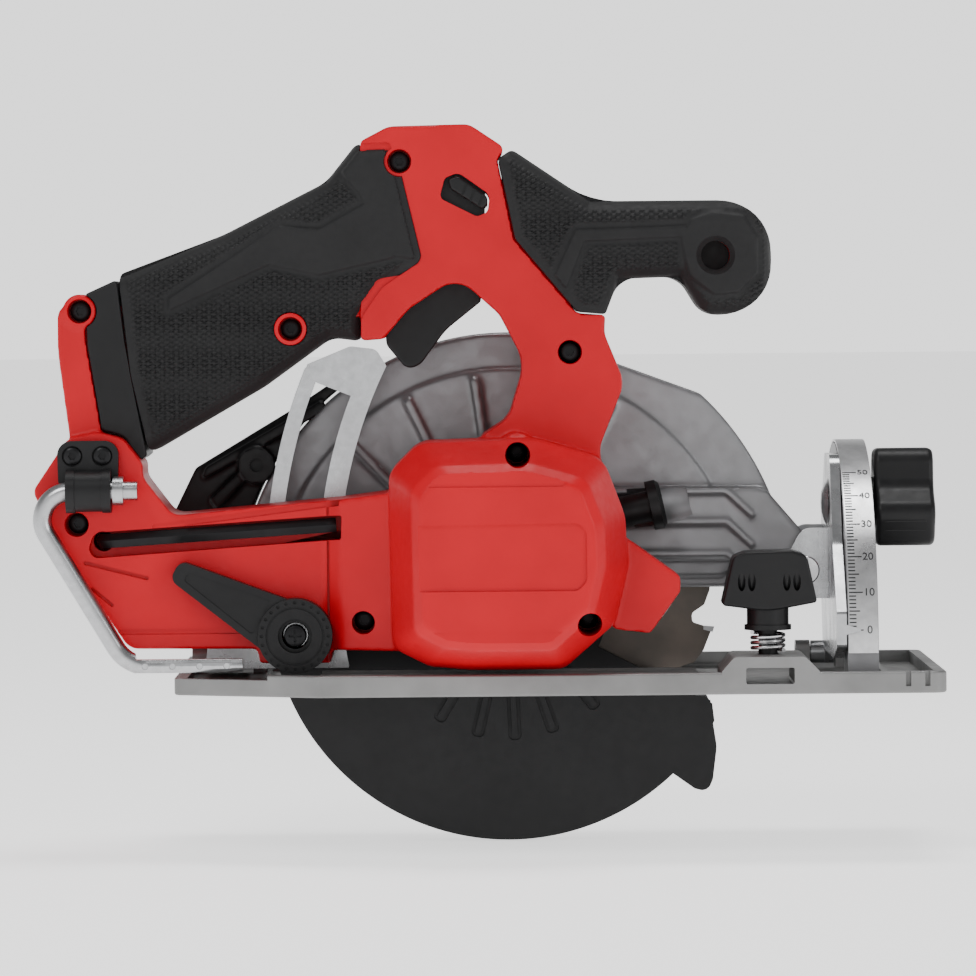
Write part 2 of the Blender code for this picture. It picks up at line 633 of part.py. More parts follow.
def spindle_lock_button():
    button = rod_between("spindle_lock_button", spindle_lock_line(27.0), spindle_lock_line(49.5), 5.0,
                         "black_plastic", 14)
    cap = rod_between("cap", spindle_lock_line(49.0), spindle_lock_line(53.4), 8.0, "black_plastic", 18, 7.2)
    pin = rod_between("pin", spindle_lock_line(11.5), spindle_lock_line(28.0), 2.0, "black_plastic", 12)
    join(button, cap, pin)
    set_origin(button, spindle_lock_line(40.0))
    return button


def hook_clamp():
    y, z = HOOK_AXIS
    plate = slab("hook_clamp", [(-142.2, 66, 2), (-123.4, 66, 2), (-123.0, 80.6, 4.5), (-142.6, 80.6, 4.5)],
                 ARM_FACE - 3.6, ARM_FACE - GAP, "XZ", "black_plastic", 1.2, 0.0)
    barrel = disc("barrel", (y, z), 6.5, -139.4, -125.2, "YZ", "black_plastic", 16)
    join(plate, barrel)
    cut(plate, bore((y, z), 3.35, -150.0, -115.0, "YZ", 16))
    for x in (-137.7, -128.2):
        cut(plate, bore((x, 75.8), 3.3, -36.0, ARM_FACE - 1.9, segments=12))
        cut(plate, bore((x, 75.8), 1.5, -36.0, -20.0, segments=12))
    return plate


def clamp_screw(name, x):
    top = ARM_FACE - 3.9
    return turned(name, [(0, top), (2.2, top), (2.9, top + 0.6), (2.9, ARM_FACE - 2.2), (1.2, ARM_FACE - 2.2),
                          (1.2, -18.0), (0, -17.2)], (x, 75.8), "XZ", "black_oxide", steps=10)


def rafter_hook():
    """Bent rod: hinge leg along X, a slanted leg down the rear edge and a flattened foot."""
    y, z = HOOK_AXIS
    corners = [(-117.0, 64.8, 0), (-154.0, 64.8, 9), (-120.8, 9.4, 12), (-84.2, 9.4, 0)]
    path = open_path(corners)
    hook = wire("rafter_hook", [(u, y, v) for u, v in path], 3.0, "zinc_plate", resolution=2)
    flats = [cutter(box_corners(-121.0, 11.6, -80.0, 20.0), y - 5, y + 5),
             cutter(box_corners(-121.0, 0.0, -80.0, 7.0), y - 5, y + 5)]
    cut(hook, *flats)
    collar = disc("collar", (y, z), 4.6, -124.6, -121.4, "YZ", "black_plastic", 16)
    join(hook, collar)
    set_origin(hook, (-130.0, y, z))
    return hook


def open_path(corners):
    """Open route through corners (u, v, radius), the inner ones rounded by arcs."""
    points = [corners[0][:2]]
    for before, here, after in zip(corners, corners[1:], corners[2:]):
        p0, p1, p2 = Vector(before[:2]), Vector(here[:2]), Vector(after[:2])
        into, out = (p1 - p0).normalized(), (p2 - p1).normalized()
        turn = math.atan2(into.x * out.y - into.y * out.x, into.dot(out))
        reach = here[2] * math.tan(abs(turn) / 2)
        begin = p1 - into * reach
        side = 1 if turn > 0 else -1
        centre = begin + Vector((-into.y, into.x)) * here[2] * side
        first = math.atan2(begin.y - centre.y, begin.x - centre.x)
        count = max(2, round(abs(math.degrees(turn)) / 15))
        for k in range(count + 1):
            angle = first + turn * k / count
            points.append((centre.x + here[2] * math.cos(angle), centre.y + here[2] * math.sin(angle)))
    points.append(corners[-1][:2])
    return points


def hex_key():
    """Five millimetre hex key, its short leg bent into the housing."""
    y = ARM_FACE + 2.9
    corners = [(-128.6, -12.0, 0), (-128.6, y, 4.0), (-54.6, y, 0)]
    flat = open_path(corners)
    points = [(u, v, 48.5 + (u + 128.6) * 0.063) for u, v in flat]
    key = wire("hex_key", points, 2.6, "black_oxide", resolution=1)
    set_origin(key, (-92.0, y, 50.8))
    return key


# ---------------------------------------------------------------- switches and electrics

def trigger():
    lever = slab("trigger", TRIGGER, -7.5, 7.5, "XZ", "black_plastic", 2.5, 2.5)
    join(lever, disc("pivot", TRIGGER_PIVOT, 1.5, -14.2, 14.2, segments=12))
    set_origin(lever, (TRIGGER_PIVOT[0], 0, TRIGGER_PIVOT[1]))
    return lever


def lock_off_button():
    corners = [(-17.2, 159.4, 1), (-7.3, 152.9, 1), (-5.6, 154.6, 1), (-5.6, 156.9, 2),
               (-14.9, 163.8, 2.5), (-18.2, 162.6, 1)]
    button = slab("lock_off_button", corners, -18.3, 18.3, "XZ", "black_plastic", 1.2, 1.2)
    set_origin(button, (-12, 0, 158))
    return button


def switch_module():
    return slab("switch_module", [(-28, 141, 1), (-8, 141, 1), (-9, 149, 1), (-22, 152, 1), (-28, 152, 1)], -10, 10,
                "XZ", "black_plastic", 1.0, 1.0)


def control_board():
    return slab("control_board", box_corners(-104, 35.5, -66, 42, 0.5), -18.0, -15.6, "XZ", "circuit_board")


# ---------------------------------------------------------------- motor and gears

def motor_stator():
    profile = [(13.6, -56), (25.2, -56), (25.2, -24), (13.6, -24)]
    return turned("motor_stator", profile, MOTOR, "XZ", "motor_steel", 18)


def rotor_shaft():
    """Shaft with its rotor core and, on its blade end, the pinion cut from the same steel."""
    profile = [(0, -62), (2.2, -62), (2.2, -56), (13.0, -56), (13.0, -24), (3.0, -24), (3.0, 4.4),
               (0, 4.4)]
    shaft = turned("rotor_shaft", profile, MOTOR, "XZ", "motor_steel", 12)
    teeth = toothed_outline(MOTOR, PINION_TEETH, MOTOR_ANGLE + 180.0 + 180.0 / PINION_TEETH)
    return join(shaft, slab("pinion", teeth, 3.8, 13.4, "XZ", "bright_steel"))


def cooling_fan():
    hub = turned("cooling_fan", [(3.3, -21), (23.5, -21), (23.5, -19.6), (7, -19.6), (7, -12), (3.3, -12)], MOTOR,
                 "XZ", "black_plastic", 18)
    blades = []
    for k in range(FAN_VANES):
        vane = slab("vane", box_corners(6.5, -0.6, 22.8, 0.6), -20.0, -12.5)
        vane.data.transform(Matrix.Translation(PLANES["XZ"](*MOTOR, 0))
                            @ Matrix.Rotation(-2 * math.pi * (k + 0.3) / FAN_VANES, 4, "Y"))
        blades.append(vane)
    return join(hub, *blades)


def ring_bearing(name, centre, inner, outer, low, high):
    return turned(name, [(inner, low), (outer, low), (outer, high), (inner, high)], centre, "XZ", "bright_steel", 14)


def toothed_outline(centre, teeth, first_tooth):
    """Trapezoid teeth on a pitch circle, thinned for backlash."""
    pitch_radius = GEAR_MODULE * teeth / 2
    root, tip = pitch_radius - 1.0, pitch_radius + 0.62
    step = 360.0 / teeth
    corners = []
    for k in range(teeth):
        middle = first_tooth + k * step
        for radius, share in ((root, -0.27), (tip, -0.12), (tip, 0.12), (root, 0.27)):
            corners.append((*polar(centre, radius, middle + share * step), 0.0))
    return corners


def drive_gear():
    gear = slab("drive_gear", toothed_outline(ARBOR, GEAR_TEETH, MOTOR_ANGLE), 5.4, 12.2, "XZ", "bright_steel")
    return cut(gear, bore(ARBOR, 5.2, 3.0, 15.0, segments=14))


def gear_case():
    case = slab("gear_case", GEAR_CASE, 4.3, 21.6, "XZ", "grey_casting", 0.0, 1.0)
    join(case, disc("nose", ARBOR, 15.0, 20.0, 30.8, "XZ", "grey_casting", 20))
    cut(case, bore(ARBOR, 19.2, 2.0, 13.6, segments=24), bore(MOTOR, 5.6, 2.0, 14.2, segments=12))
    cut(case, bore(ARBOR, 13.2, 13.0, 20.4, segments=16), bore(ARBOR, 5.6, 12.0, 33.0, segments=14))
    cut(case, rod_between("cutter", spindle_lock_line(0.0), spindle_lock_line(24.0), 2.4, segments=12))
    cut(case, spindle_lock_bore())
    return case


def bearing_plate():
    plate = slab("bearing_plate", offset_corners(GEAR_CASE, 0.4), -3.0, 4.0, "XZ", "grey_casting")
    cut(plate, bore(ARBOR, 9.6, -5.0, 6.0, segments=14), bore(MOTOR, 8.6, -5.0, 6.0, segments=14))
    cut(plate, spindle_lock_bore())
    cut(plate, rod_between("cutter", spindle_lock_line(6.0), spindle_lock_line(24.0), 2.4, segments=12))
    return plate


def spindle():
    profile = [(0, -2.4), (4.9, -2.4), (4.9, 31.0), (4.9, 36.4), (3.2, 36.4), (3.2, 22.0), (0, 22.0)]
    return turned("spindle", profile, ARBOR, "XZ", "bright_steel", 14)


def inner_flange():
    profile = [(5.2, 31.3), (15.0, 31.3), (15.0, 35.1), (9.7, 35.1), (9.7, 36.6), (5.2, 36.6)]
    return turned("inner_flange", profile, ARBOR, "XZ", "dark_steel", 20)


def saw_blade():
    step = 360.0 / BLADE_TEETH
    corners = []
    for k in range(BLADE_TEETH):
        base = k * step + 10.0
        for radius, share in ((61.0, 0.03), (60.6, 0.14), (64.6, 0.32), (66.6, 0.6), (BLADE_RADIUS, 0.985)):
            corners.append((*polar(ARBOR, radius, base + share * step), 0.0))
    blade = slab("saw_blade", corners, BLADE_Y - 0.6, BLADE_Y + 0.6, "XZ", "dark_steel")
    return cut(blade, bore(ARBOR, 10.0, 30.0, 40.0, segments=20))


def outer_flange():
    profile = [(3.4, 36.9), (15.0, 36.9), (15.0, 38.6), (12.5, 39.8), (3.4, 39.8)]
    return turned("outer_flange", profile, ARBOR, "XZ", "dark_steel", 20)


def arbor_bolt():
    profile = [(0, 24.0), (2.9, 24.0), (2.9, 40.1), (6.6, 40.1), (6.6, 45.2), (5.8, 45.9), (0, 45.9)]
    bolt = turned("arbor_bolt", profile,
                  ARBOR, "XZ", "black_oxide", 14)
    return cut(bolt, bore(ARBOR, 2.9, 42.4, 50.0, segments=6))


# ---------------------------------------------------------------- guards

def upper_guard():
    rim_radius = 88.0
    shell = ([(-86.4, 30, 1), (-64, 30, 1), (82, 30, 1), (88, 37, 3)]
             + arc(ARBOR, rim_radius + 4.5, 19, 47, 3) + arc(ARBOR, rim_radius, 84, 176, 8))
    guard = slab("upper_guard", shell, 22.0, 50.0, "XZ", "grey_casting", 1.5, 1.5)
    inner = ([(-83.6, 20, 0), (81.5, 20, 0)] + arc(ARBOR, rim_radius + 1.8, 8, 47, 4)
             + arc(ARBOR, rim_radius - 2.8, 84, 176, 8))
    near_arm = slab("near_arm", [(31.8, 39.5, 1), (84, 39.5, 3), (86, 62.4, 4), (31.8, 63, 1)], 12.0, 24.3, "XZ",
                    "grey_casting", 1.5, 0.0)
    lug_corners = [(80, 36, 3), (90.5, 28.9, 5), (101, 28.9, 6.5), (103.2, 40, 6.5), (84, 62.4, 3),
                   (80, 62.4, 1)]
    lug = slab("lug", lug_corners,
               12.0, 39.8, "XZ", "grey_casting", 1.0, 1.0)
    join(guard, near_arm, lug)
    cut(guard, cutter(inner, 24.6, 47.4))
    cut(guard, bore(ARBOR, 15.5, 10.0, 30.0, segments=20), bore(ARBOR, 18.0, 46.0, 60.0, segments=20))
    cut(guard, bore(DEPTH_PIVOT, 3.35, 5.0, 60.0))
    cut(guard, rod_between("cutter", spindle_lock_line(43.0), spindle_lock_line(62.0), 8.7, segments=14))
    return guard


def dust_chute():
    outer = ([(-43, 106.2, 0), (-57, 97.6, 10), (-70, 89, 10), (-101.5, 70.2, 2), (-110.5, 52, 1), (-86.6, 47, 1)]
             + arc(ARBOR, 88.8, 166, 119, 6))
    chute = slab("dust_chute", outer, 24.0, 49.0, "XZ", "black_plastic", 0.5, 0.5)
    inner = [(-72, 86, 3), (-99.5, 67.6, 2), (-112, 44, 1), (-92.5, 40, 1), (-87.8, 62, 4), (-79, 79, 6)]
    cut(chute, cutter(inner, 26.5, 46.5))
    return chute


def lower_guard():
    """U-shaped half ring about the arbor: near wall, rim and a narrower far wall, with a hub ring."""
    start, sweep, steps = -27.0, -166.0, 13
    section = [(19, 28.2), (78, 28.2), (78, 43.8), (50, 43.8), (50, 42.0), (76.2, 42.0), (76.2, 30.0), (19, 30.0)]
    bm = bmesh.new()
    rings = []
    for k in range(steps + 1):
        angle = start + sweep * k / steps
        rings.append([bm.verts.new(PLANES["XZ"](*polar(ARBOR, r, angle), y)) for r, y in section])
    count = len(section)
    for first, second in zip(rings, rings[1:]):
        for i in range(count):
            j = (i + 1) % count
            bm.faces.new((first[i], first[j], second[j], second[i]))
    bm.faces.new(rings[0])
    bm.faces.new(rings[-1])
    guard = from_bmesh("lower_guard", bm, "black_plastic")
    hub = turned("hub", [(15.5, 26.6), (20.5, 26.6), (20.5, 28.2), (33, 28.2), (33, 30.0), (15.5, 30.0)], ARBOR, "XZ",
                 "black_plastic", 22)
    lip_corners = [(58.6, -5.5, 1), (50.5, -24, 2), (52.5, -30.5, 1), (60.5, -36.2, 1), (64.8, -37.4, 3),
                   (66.6, -33, 2), (67.9, -22.5, 8), (65.4, -6.0, 2)]
    lip = slab("lip", lip_corners, 28.2, 43.8, "XZ", "black_plastic", 1.0, 1.0)
    cut(lip, bore(ARBOR, 75.6, 30.3, 41.7, segments=32))
    return join(guard, hub, lip)


def guard_return_spring():
    return coil("guard_return_spring", ARBOR, 18.6, 0.5, 25.3, 25.9, 0.9, "XZ", "bright_steel")


# ---------------------------------------------------------------- depth lock and tilt frame

def depth_lock_lever():
    x, z = LOCK_BOLT
    angle = math.atan2(39.6 - z, -105.4 - x)
    tip = (-105.4, 39.6)
    across = Vector((-math.sin(angle), math.cos(angle)))
    root = Vector((x, z)) + Vector((math.cos(angle), math.sin(angle))) * 6
    corners = []
    for point, half, radius in ((tip, 3.4, 3.0), (root, 9.2, 2.0)):
        centre = Vector(point)
        corners.append((*(centre + across * half), radius))
        corners.insert(0, (*(centre - across * half), radius))
    lever = disc("depth_lock_lever", LOCK_BOLT, 11.8, ARM_FACE - 8.6, ARM_FACE - GAP, "XZ", "black_plastic", 22)
    join(lever, slab("arm", corners, ARM_FACE - 7.6, ARM_FACE - 0.8, "XZ", "black_plastic", 1.5, 0.5))
    cut(lever, bore(LOCK_BOLT, 5.4, ARM_FACE - 12.0, ARM_FACE - 5.2, segments=16))
    cut(lever, bore(LOCK_BOLT, 4.3, ARM_FACE - 8.0, ARM_FACE + 2.0, segments=14))
    set_origin(lever, (x, ARM_FACE - 4.0, z))
    return lever


def depth_lock_screw():
    top = ARM_FACE - 7.6
    profile = [(0, top), (2.4, top), (3.6, top + 0.8), (3.6, ARM_FACE - 5.0), (1.6, ARM_FACE - 5.0),
               (1.6, ARM_FACE - 1.6), (0, ARM_FACE - 1.6)]
    return turned("depth_lock_screw", profile, LOCK_BOLT, "XZ", "black_oxide", 12)



def depth_clamp_bolt():
    profile = [(0, ARM_FACE - 1.2), (3.9, ARM_FACE - 1.2), (3.9, 9.2), (6.2, 9.2), (6.2, 11.2), (5.0, 12.4), (0, 12.4)]
    bolt = turned("depth_clamp_bolt", profile, LOCK_BOLT, "XZ", "zinc_plate", 14)
    return cut(bolt, bore(LOCK_BOLT, 1.9, ARM_FACE - 2.0, ARM_FACE + 1.0, segments=10))


def depth_quadrant():
    """Slotted arc plate about the depth pivot, with a foot that runs to the rear bevel knuckle."""
    inner, outer, top, bottom = 150.5, 174.0, 153.5, 190.0
    corners = ([(-42.0, 108.6, 3), (-50.4, 109.6, 3)] + arc(DEPTH_PIVOT, outer, top + 3.5, 187.0, 9)
               + [(-97, 15.5, 3), (-98, 5.8, 0.5), (-51.5, 5.8, 0.5)]
               + arc(DEPTH_PIVOT, inner, bottom, top, 9))
    quadrant = slab("depth_quadrant", corners, 6.0, 8.5, "XZ", "zinc_plate")
    flange_corners = (arc(DEPTH_PIVOT, outer + 0.3, top + 4, 186.8, 9)
                      + arc(DEPTH_PIVOT, outer - 2.1, 186.8, top + 4, 9))
    join(quadrant, slab("flange", flange_corners, 6.6, 14.0, "XZ", "zinc_plate"))
    slot = arc(DEPTH_PIVOT, 169.4, 158.5, 188.3, 8) + arc(DEPTH_PIVOT, 157.2, 188.3, 158.5, 8)
    cut(quadrant, cutter(slot, 0.0, 12.0))
    foot = slab("foot", box_corners(6.2, 5.8, 33.0, 8.3), -98.0, -84.0, "YZ", "zinc_plate")
    knuckle = disc("knuckle", BEVEL_PIVOT, 3.7, -98.0, -84.0, "YZ", "zinc_plate", 14)
    pin = disc("rivet", BEVEL_PIVOT, BEVEL_PIN_RADIUS, -103.2, -79.3, "YZ", "bright_steel", 10)
    return join(quadrant, foot, knuckle, pin)


def bevel_bracket():
    plate_corners = [(-37, 13.5, 1.5), (-18, 9, 4), (26, 9, 3), (30.6, 4.4, 3.3), (37.4, 4.4, 3.3), (44.5, 22, 5),
                     (44.5, 52, 6), (24, 73.5, 6), (-4, 73.5, 6), (-17, 46, 10), (-37, 24.5, 1.5)]
    bracket = slab("bevel_bracket", plate_corners, 103.4, 106.5, "YZ", "zinc_plate")
    ear = [(88.0, 36, 8), (92, 26.8, 5), (105, 26.8, 0), (105, 49.5, 0), (95, 49.5, 5)]
    for low in (8.2, 40.4):
        join(bracket, slab("ear", ear, low, low + 3.4, "XZ", "zinc_plate"))
    join(bracket, disc("knuckle", BEVEL_PIVOT, 3.7, 99.0, 106.5, "YZ", "zinc_plate", 14))
    join(bracket, slab("pointer", [(104, 17.0, 0.5), (111, 18.6, 0.5), (111, 19.4, 0.5), (104, 21.4, 0.5)],
                       -37.0, -36.0, "XZ", "zinc_plate"))
    join(bracket, disc("rivet", BEVEL_PIVOT, BEVEL_PIN_RADIUS, 94.3, 111.7, "YZ", "bright_steel", 10))
    cut(bracket, bore(BEVEL_BOLT, 3.35, 98.0, 110.0, "YZ"))
    cut(bracket, bore(DEPTH_PIVOT, 3.35, 0.0, 60.0, "XZ"))
    return bracket


def depth_pivot_pin():
    return turned("depth_pivot_pin", [(0, 5.6), (4.6, 5.6), (4.6, 7.9), (3.0, 7.9), (3.0, 45.4), (0, 45.4)],
                  DEPTH_PIVOT, "XZ", "bright_steel", 14)


def bevel_bolt():
    dome = [(0, 101.0), (3.6, 101.3), (6.2, 102.2), (7.6, 103.1), (3.0, 103.1), (3.0, 124.0), (0, 124.0)]
    return turned("bevel_carriage_bolt", dome, BEVEL_BOLT, "YZ", "bright_steel", 14)


def bevel_knob():
    lobes = []
    for k in range(3):
        lobes.append((*polar(BEVEL_BOLT, 19.0, 90 + 120 * k - 24), 5.0))
        lobes.append((*polar(BEVEL_BOLT, 19.0, 90 + 120 * k + 24), 5.0))
        lobes.append((*polar(BEVEL_BOLT, 10.5, 90 + 120 * k + 60), 6.0))
    knob = loft("bevel_knob", lobes, [(117.8, 1.2), (119.0, 0.0), (129.0, 0.8), (135.0, 2.0), (137.2, 4.0)], "YZ",
                "black_plastic")
    join(knob, disc("neck", BEVEL_BOLT, 8.0, 110.6, 118.5, "YZ", "black_plastic", 16))
    cut(knob, bore(BEVEL_BOLT, 3.3, 105.0, 124.6, "YZ"))
    set_origin(knob, (124.0, *BEVEL_BOLT))
    return knob


# ---------------------------------------------------------------- shoe

def shoe():
    plan = [(SHOE_REAR, -33, 3), (-60, SHOE_NEAR, 6), (SHOE_FRONT, SHOE_NEAR, 4), (SHOE_FRONT, SHOE_FAR, 4),
            (SHOE_REAR, SHOE_FAR, 4)]
    plate = slab("shoe", plan, 0.0, 6.8, "XY", "shoe_casting", 0.8, 0.6)
    pocket = offset_corners(plan, 4.0)
    cut(plate, cutter(pocket, DECK, 10.0, "XY"))
    cut(plate, cutter([(-78.5, 14.5, 2), (77.5, 14.5, 2), (77.5, 47.5, 2), (-78.5, 47.5, 2)], -5.0, 12.0, "XY"))
    cut(plate, cutter(box_corners(-78.5, 47, 77.5, 53.5), 1.8, 12.0, "XY"))
    cut(plate, cutter(box_corners(SHOE_REAR - 5, 5.2, SHOE_REAR + 30, 12), -60, 5.0))
    bridge_corners = [(66.4, 1, 0), (97, 1, 0), (97, 7.2, 0.5), (92.6, 11.7, 2), (70.4, 11.7, 2),
                      (66.4, 7.2, 0.5)]
    bridge = slab("fence_bridge", bridge_corners, SHOE_NEAR, -18.0, "XZ", "shoe_casting")
    join(plate, bridge)
    cut(plate, cutter(box_corners(74.0, DECK + 0.2, 89.2, 8.3), -60.0, -10.0))
    cut(plate, bore((81.7, -35.0), 3.4, 7.0, 20.0, "XY", 16))
    for low, high in ((-103.5, -98.5), (-83.5, -79.0), (94.0, 98.6), (107.0, 112.0)):
        lug_corners = [(29.5, 1, 0), (38.5, 1, 0), (38.5, 11.8, 3), (29.5, 11.8, 3)]
        join(plate, slab("lug", lug_corners, low, high, "YZ", "shoe_casting"))
    rib_height = 5.6
    for y in (-40.0, -22.0, -4.0):
        join(plate, slab("rib", box_corners(-60, y - 0.9, 60, y + 0.9), 1.0, rib_height, "XY", "shoe_casting"))
    join(plate, slab("front_rib", box_corners(118, -49, 120, 57), 1.0, rib_height, "XY", "shoe_casting"))
    for low, high in ((-105.0, -77.0), (92.0, 114.0)):
        cut(plate, bore(BEVEL_PIVOT, 2.05, low, high, "YZ", 16))
    return plate


def bevel_quadrant():
    """Upright casting on the shoe: slotted web and a rim that carries the scale."""
    web_corners = arc(BEVEL_PIVOT, 67.0, 60.5, 175.0, 14) + [(-34.0, 3.4, 0), (-16.0, 3.4, 0)] \
        + arc(BEVEL_PIVOT, 49.0, 172.0, 60.5, 12)
    quadrant = slab("bevel_quadrant", web_corners, 107.0, 110.2, "YZ", "grey_casting")
    rim = arc(BEVEL_PIVOT, 68.6, 60.5, 183.6, 15) + arc(BEVEL_PIVOT, 65.8, 183.6, 60.5, 15)
    join(quadrant, slab("rim", rim, 107.0, 116.8, "YZ", "grey_casting"))
    slot = arc(BEVEL_PIVOT, 60.4, 64.0, 123.5, 8) + arc(BEVEL_PIVOT, 53.6, 123.5, 64.0, 8)
    cut(quadrant, cutter(slot, 100.0, 120.0, "YZ"))
    gusset_corners = [(109, 3.4, 0), (117.4, 3.4, 0), (117.4, 6.0, 1), (112.0, 26, 4), (109, 33, 0)]
    gusset = slab("gusset", gusset_corners, -28.0, -24.0, "XZ", "grey_casting")
    return join(quadrant, gusset)


def bevel_scale():
    band = arc(BEVEL_PIVOT, 69.6, 78.0, 177.0, 14) + arc(BEVEL_PIVOT, 68.9, 177.0, 78.0, 14)
    return slab("bevel_scale", band, 107.2, 116.6, "YZ", "scale_face")


def fence_knob():
    wing = [(67.0, 27.4, 1), (81.7, 25.4, 20), (97.0, 28.2, 1), (93.8, 43.2, 3), (89, 44.6, 3),
            (74.6, 44.2, 3), (70.6, 42.6, 2)]
    knob = slab("fence_knob", wing, -43.0, -27.0, "XZ", "black_plastic", 5.0, 5.0)
    join(knob, disc("neck", (81.7, -35.0), 6.6, 19.4, 30.0, "XY", "black_plastic", 16))
    join(knob, disc("screw", (81.7, -35.0), 3.0, 8.7, 25.0, "XY", "bright_steel", 12))
    set_origin(knob, (81.7, -35.0, 30.0))
    return knob


def fence_spring():
    return coil("fence_spring", (81.7, -35.0), 5.0, 0.65, 12.8, 18.5, 3.5, "XY", "bright_steel")


# ---------------------------------------------------------------- assembly

def build():
    motor_side_housing()
    blade_side_housing()
    for side_name, side in (("near", -1), ("far", 1)):
        rear_grip("rear_grip_" + side_name, side)
        front_grip("front_grip_" + side_name, side)
    battery_sleeve()
    battery_contacts()
    for name, x, z, _, floor, tip in HOUSING_SCREWS:
        housing_screw(name, x, z, floor, tip)
    vent_insert()
    led_lens()
    hook_clamp()
    clamp_screw("clamp_screw_rear", -137.7)
    clamp_screw("clamp_screw_front", -128.2)
    rafter_hook()
    hex_key()
    trigger()
    lock_off_button()
    spindle_lock_button()
    switch_module()
    control_board()
    motor_stator()
    ring_bearing("motor_rear_bearing", MOTOR, 2.45, 8.0, -61.8, -57.2)
    ring_bearing("motor_front_bearing", MOTOR, 3.25, 8.0, -2.8, 3.4)
    ring_bearing("spindle_inner_bearing", ARBOR, 5.15, 9.0, -2.8, 3.6)
    ring_bearing("spindle_outer_bearing", ARBOR, 5.15, 12.5, 14.0, 20.1)
    rotating = [rotor_shaft(), cooling_fan()]
    hang_on("motor_axis", (MOTOR[0], 0, MOTOR[1]), rotating)
    gear_case()
    bearing_plate()
    turning = [drive_gear(), spindle(), inner_flange(), saw_blade(), outer_flange(), arbor_bolt()]
    hang_on("blade_axis", (ARBOR[0], BLADE_Y, ARBOR[1]), turning)
    upper_guard()
    dust_chute()
    hang_on("guard_axis", (ARBOR[0], 29, ARBOR[1]), [lower_guard()])
    guard_return_spring()
    depth_lock_lever()
    depth_lock_screw()
    depth_clamp_bolt()
    tilting = [depth_quadrant(), bevel_bracket(), bevel_bolt()]
    hang_on("depth_axis", (DEPTH_PIVOT[0], 26, DEPTH_PIVOT[1]), tilting)
    depth_pivot_pin()
    bevel_knob()
    standing = [shoe(), bevel_quadrant(), bevel_scale(), fence_spring()]
    hang_on("bevel_axis", (0, *BEVEL_PIVOT), standing)
    fence_knob()


clear_scene()
PARTS = new_collection("circular_saw")
CUTTERS = new_collection("cutters")
build()
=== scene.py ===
"""Looks of a cordless circular saw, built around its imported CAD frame.

Row frame: +X forward along the cut, +Z up from the sole of the shoe, +Y towards the blade.
Lengths are millimetres; MM turns them into Blender's metres.
"""
import json
import math

import bmesh
import bpy
from mathutils import Matrix, Vector


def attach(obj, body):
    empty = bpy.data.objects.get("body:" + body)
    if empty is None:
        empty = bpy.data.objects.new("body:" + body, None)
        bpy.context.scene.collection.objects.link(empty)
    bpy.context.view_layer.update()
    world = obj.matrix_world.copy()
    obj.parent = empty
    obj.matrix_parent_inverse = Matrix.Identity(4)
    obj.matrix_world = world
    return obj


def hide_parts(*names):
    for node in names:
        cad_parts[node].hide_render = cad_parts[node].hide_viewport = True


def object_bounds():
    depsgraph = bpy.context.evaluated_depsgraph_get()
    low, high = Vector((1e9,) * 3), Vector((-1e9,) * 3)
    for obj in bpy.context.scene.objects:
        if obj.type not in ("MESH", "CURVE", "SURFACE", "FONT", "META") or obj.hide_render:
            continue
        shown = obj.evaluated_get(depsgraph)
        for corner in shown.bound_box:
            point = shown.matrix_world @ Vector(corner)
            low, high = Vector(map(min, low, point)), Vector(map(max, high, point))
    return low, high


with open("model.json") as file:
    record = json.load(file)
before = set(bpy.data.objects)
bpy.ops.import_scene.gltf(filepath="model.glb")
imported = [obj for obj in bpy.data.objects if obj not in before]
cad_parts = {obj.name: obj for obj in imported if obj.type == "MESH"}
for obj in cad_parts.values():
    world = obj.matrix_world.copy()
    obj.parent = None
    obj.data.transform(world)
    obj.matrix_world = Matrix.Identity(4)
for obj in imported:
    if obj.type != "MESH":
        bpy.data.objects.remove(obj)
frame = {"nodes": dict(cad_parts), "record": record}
cad_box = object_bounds()

MM = 0.001
GAP = 0.3
SEAM = 0.15                    # half of the gap between the two housing halves
HANDLE_HALF, GRIP_HALF = 17.5, 18.8
ARM_FACE, MOTOR_FACE = -26.0, -66.0
ARBOR, MOTOR = (0.0, 25.5), (-2.0, 46.2)
DEPTH_PIVOT = (96.0, 36.0)
BEVEL_PIVOT, BEVEL_BOLT = (34.0, 8.0), (6.6, 58.0)          # Y, Z
LOCK_BOLT, TRIGGER_PIVOT = (-67.6, 18.5), (-10.0, 132.0)
HOOK_AXIS = (-33.0, 64.8)                                   # Y, Z
POMMEL = (66.8, 137.7)
FENCE_BOLT = (81.7, -35.0)                                  # X, Y
CLAMP_SCREWS = {"clamp_screw_rear": (-137.7, 75.8), "clamp_screw_front": (-128.2, 75.8)}
GRIP_CORE = 15.2               # half width of the moulding under the rubber grips
GRIP_BORE = 15.5               # half width of the room for it inside the rubber
FLANK_ROUND, PLAIN_EDGE = 7.0, 3.0                          # round of a grip's flank, its rim without knurl
KNURL_TILT, KNURL_PITCH = math.radians(60), 1.5
KNURL_RISE, PANEL_RISE = 0.8, 0.85
BLADE_LEVEL, BLADE_RADIUS, TEETH = 36.0, 68.25, 21
GUARD_RIM = 88.0               # outer radius of the upper guard
LOCK_ANGLE = math.radians(12.5)
SCALE_ZERO = 171.0             # where the scale's 0 stands round the bevel pivot
MOST_TRIANGLES = 190000        # of one piece
SAW_MIDDLE = Vector((0.0, 0.0, 0.07))                       # metres
FOCAL_SHARE = 5.765369         # focal length over the width of the view
BAY_ANGLE, BAY_MOUTH = math.radians(18.5), (-138.0, 101.0)
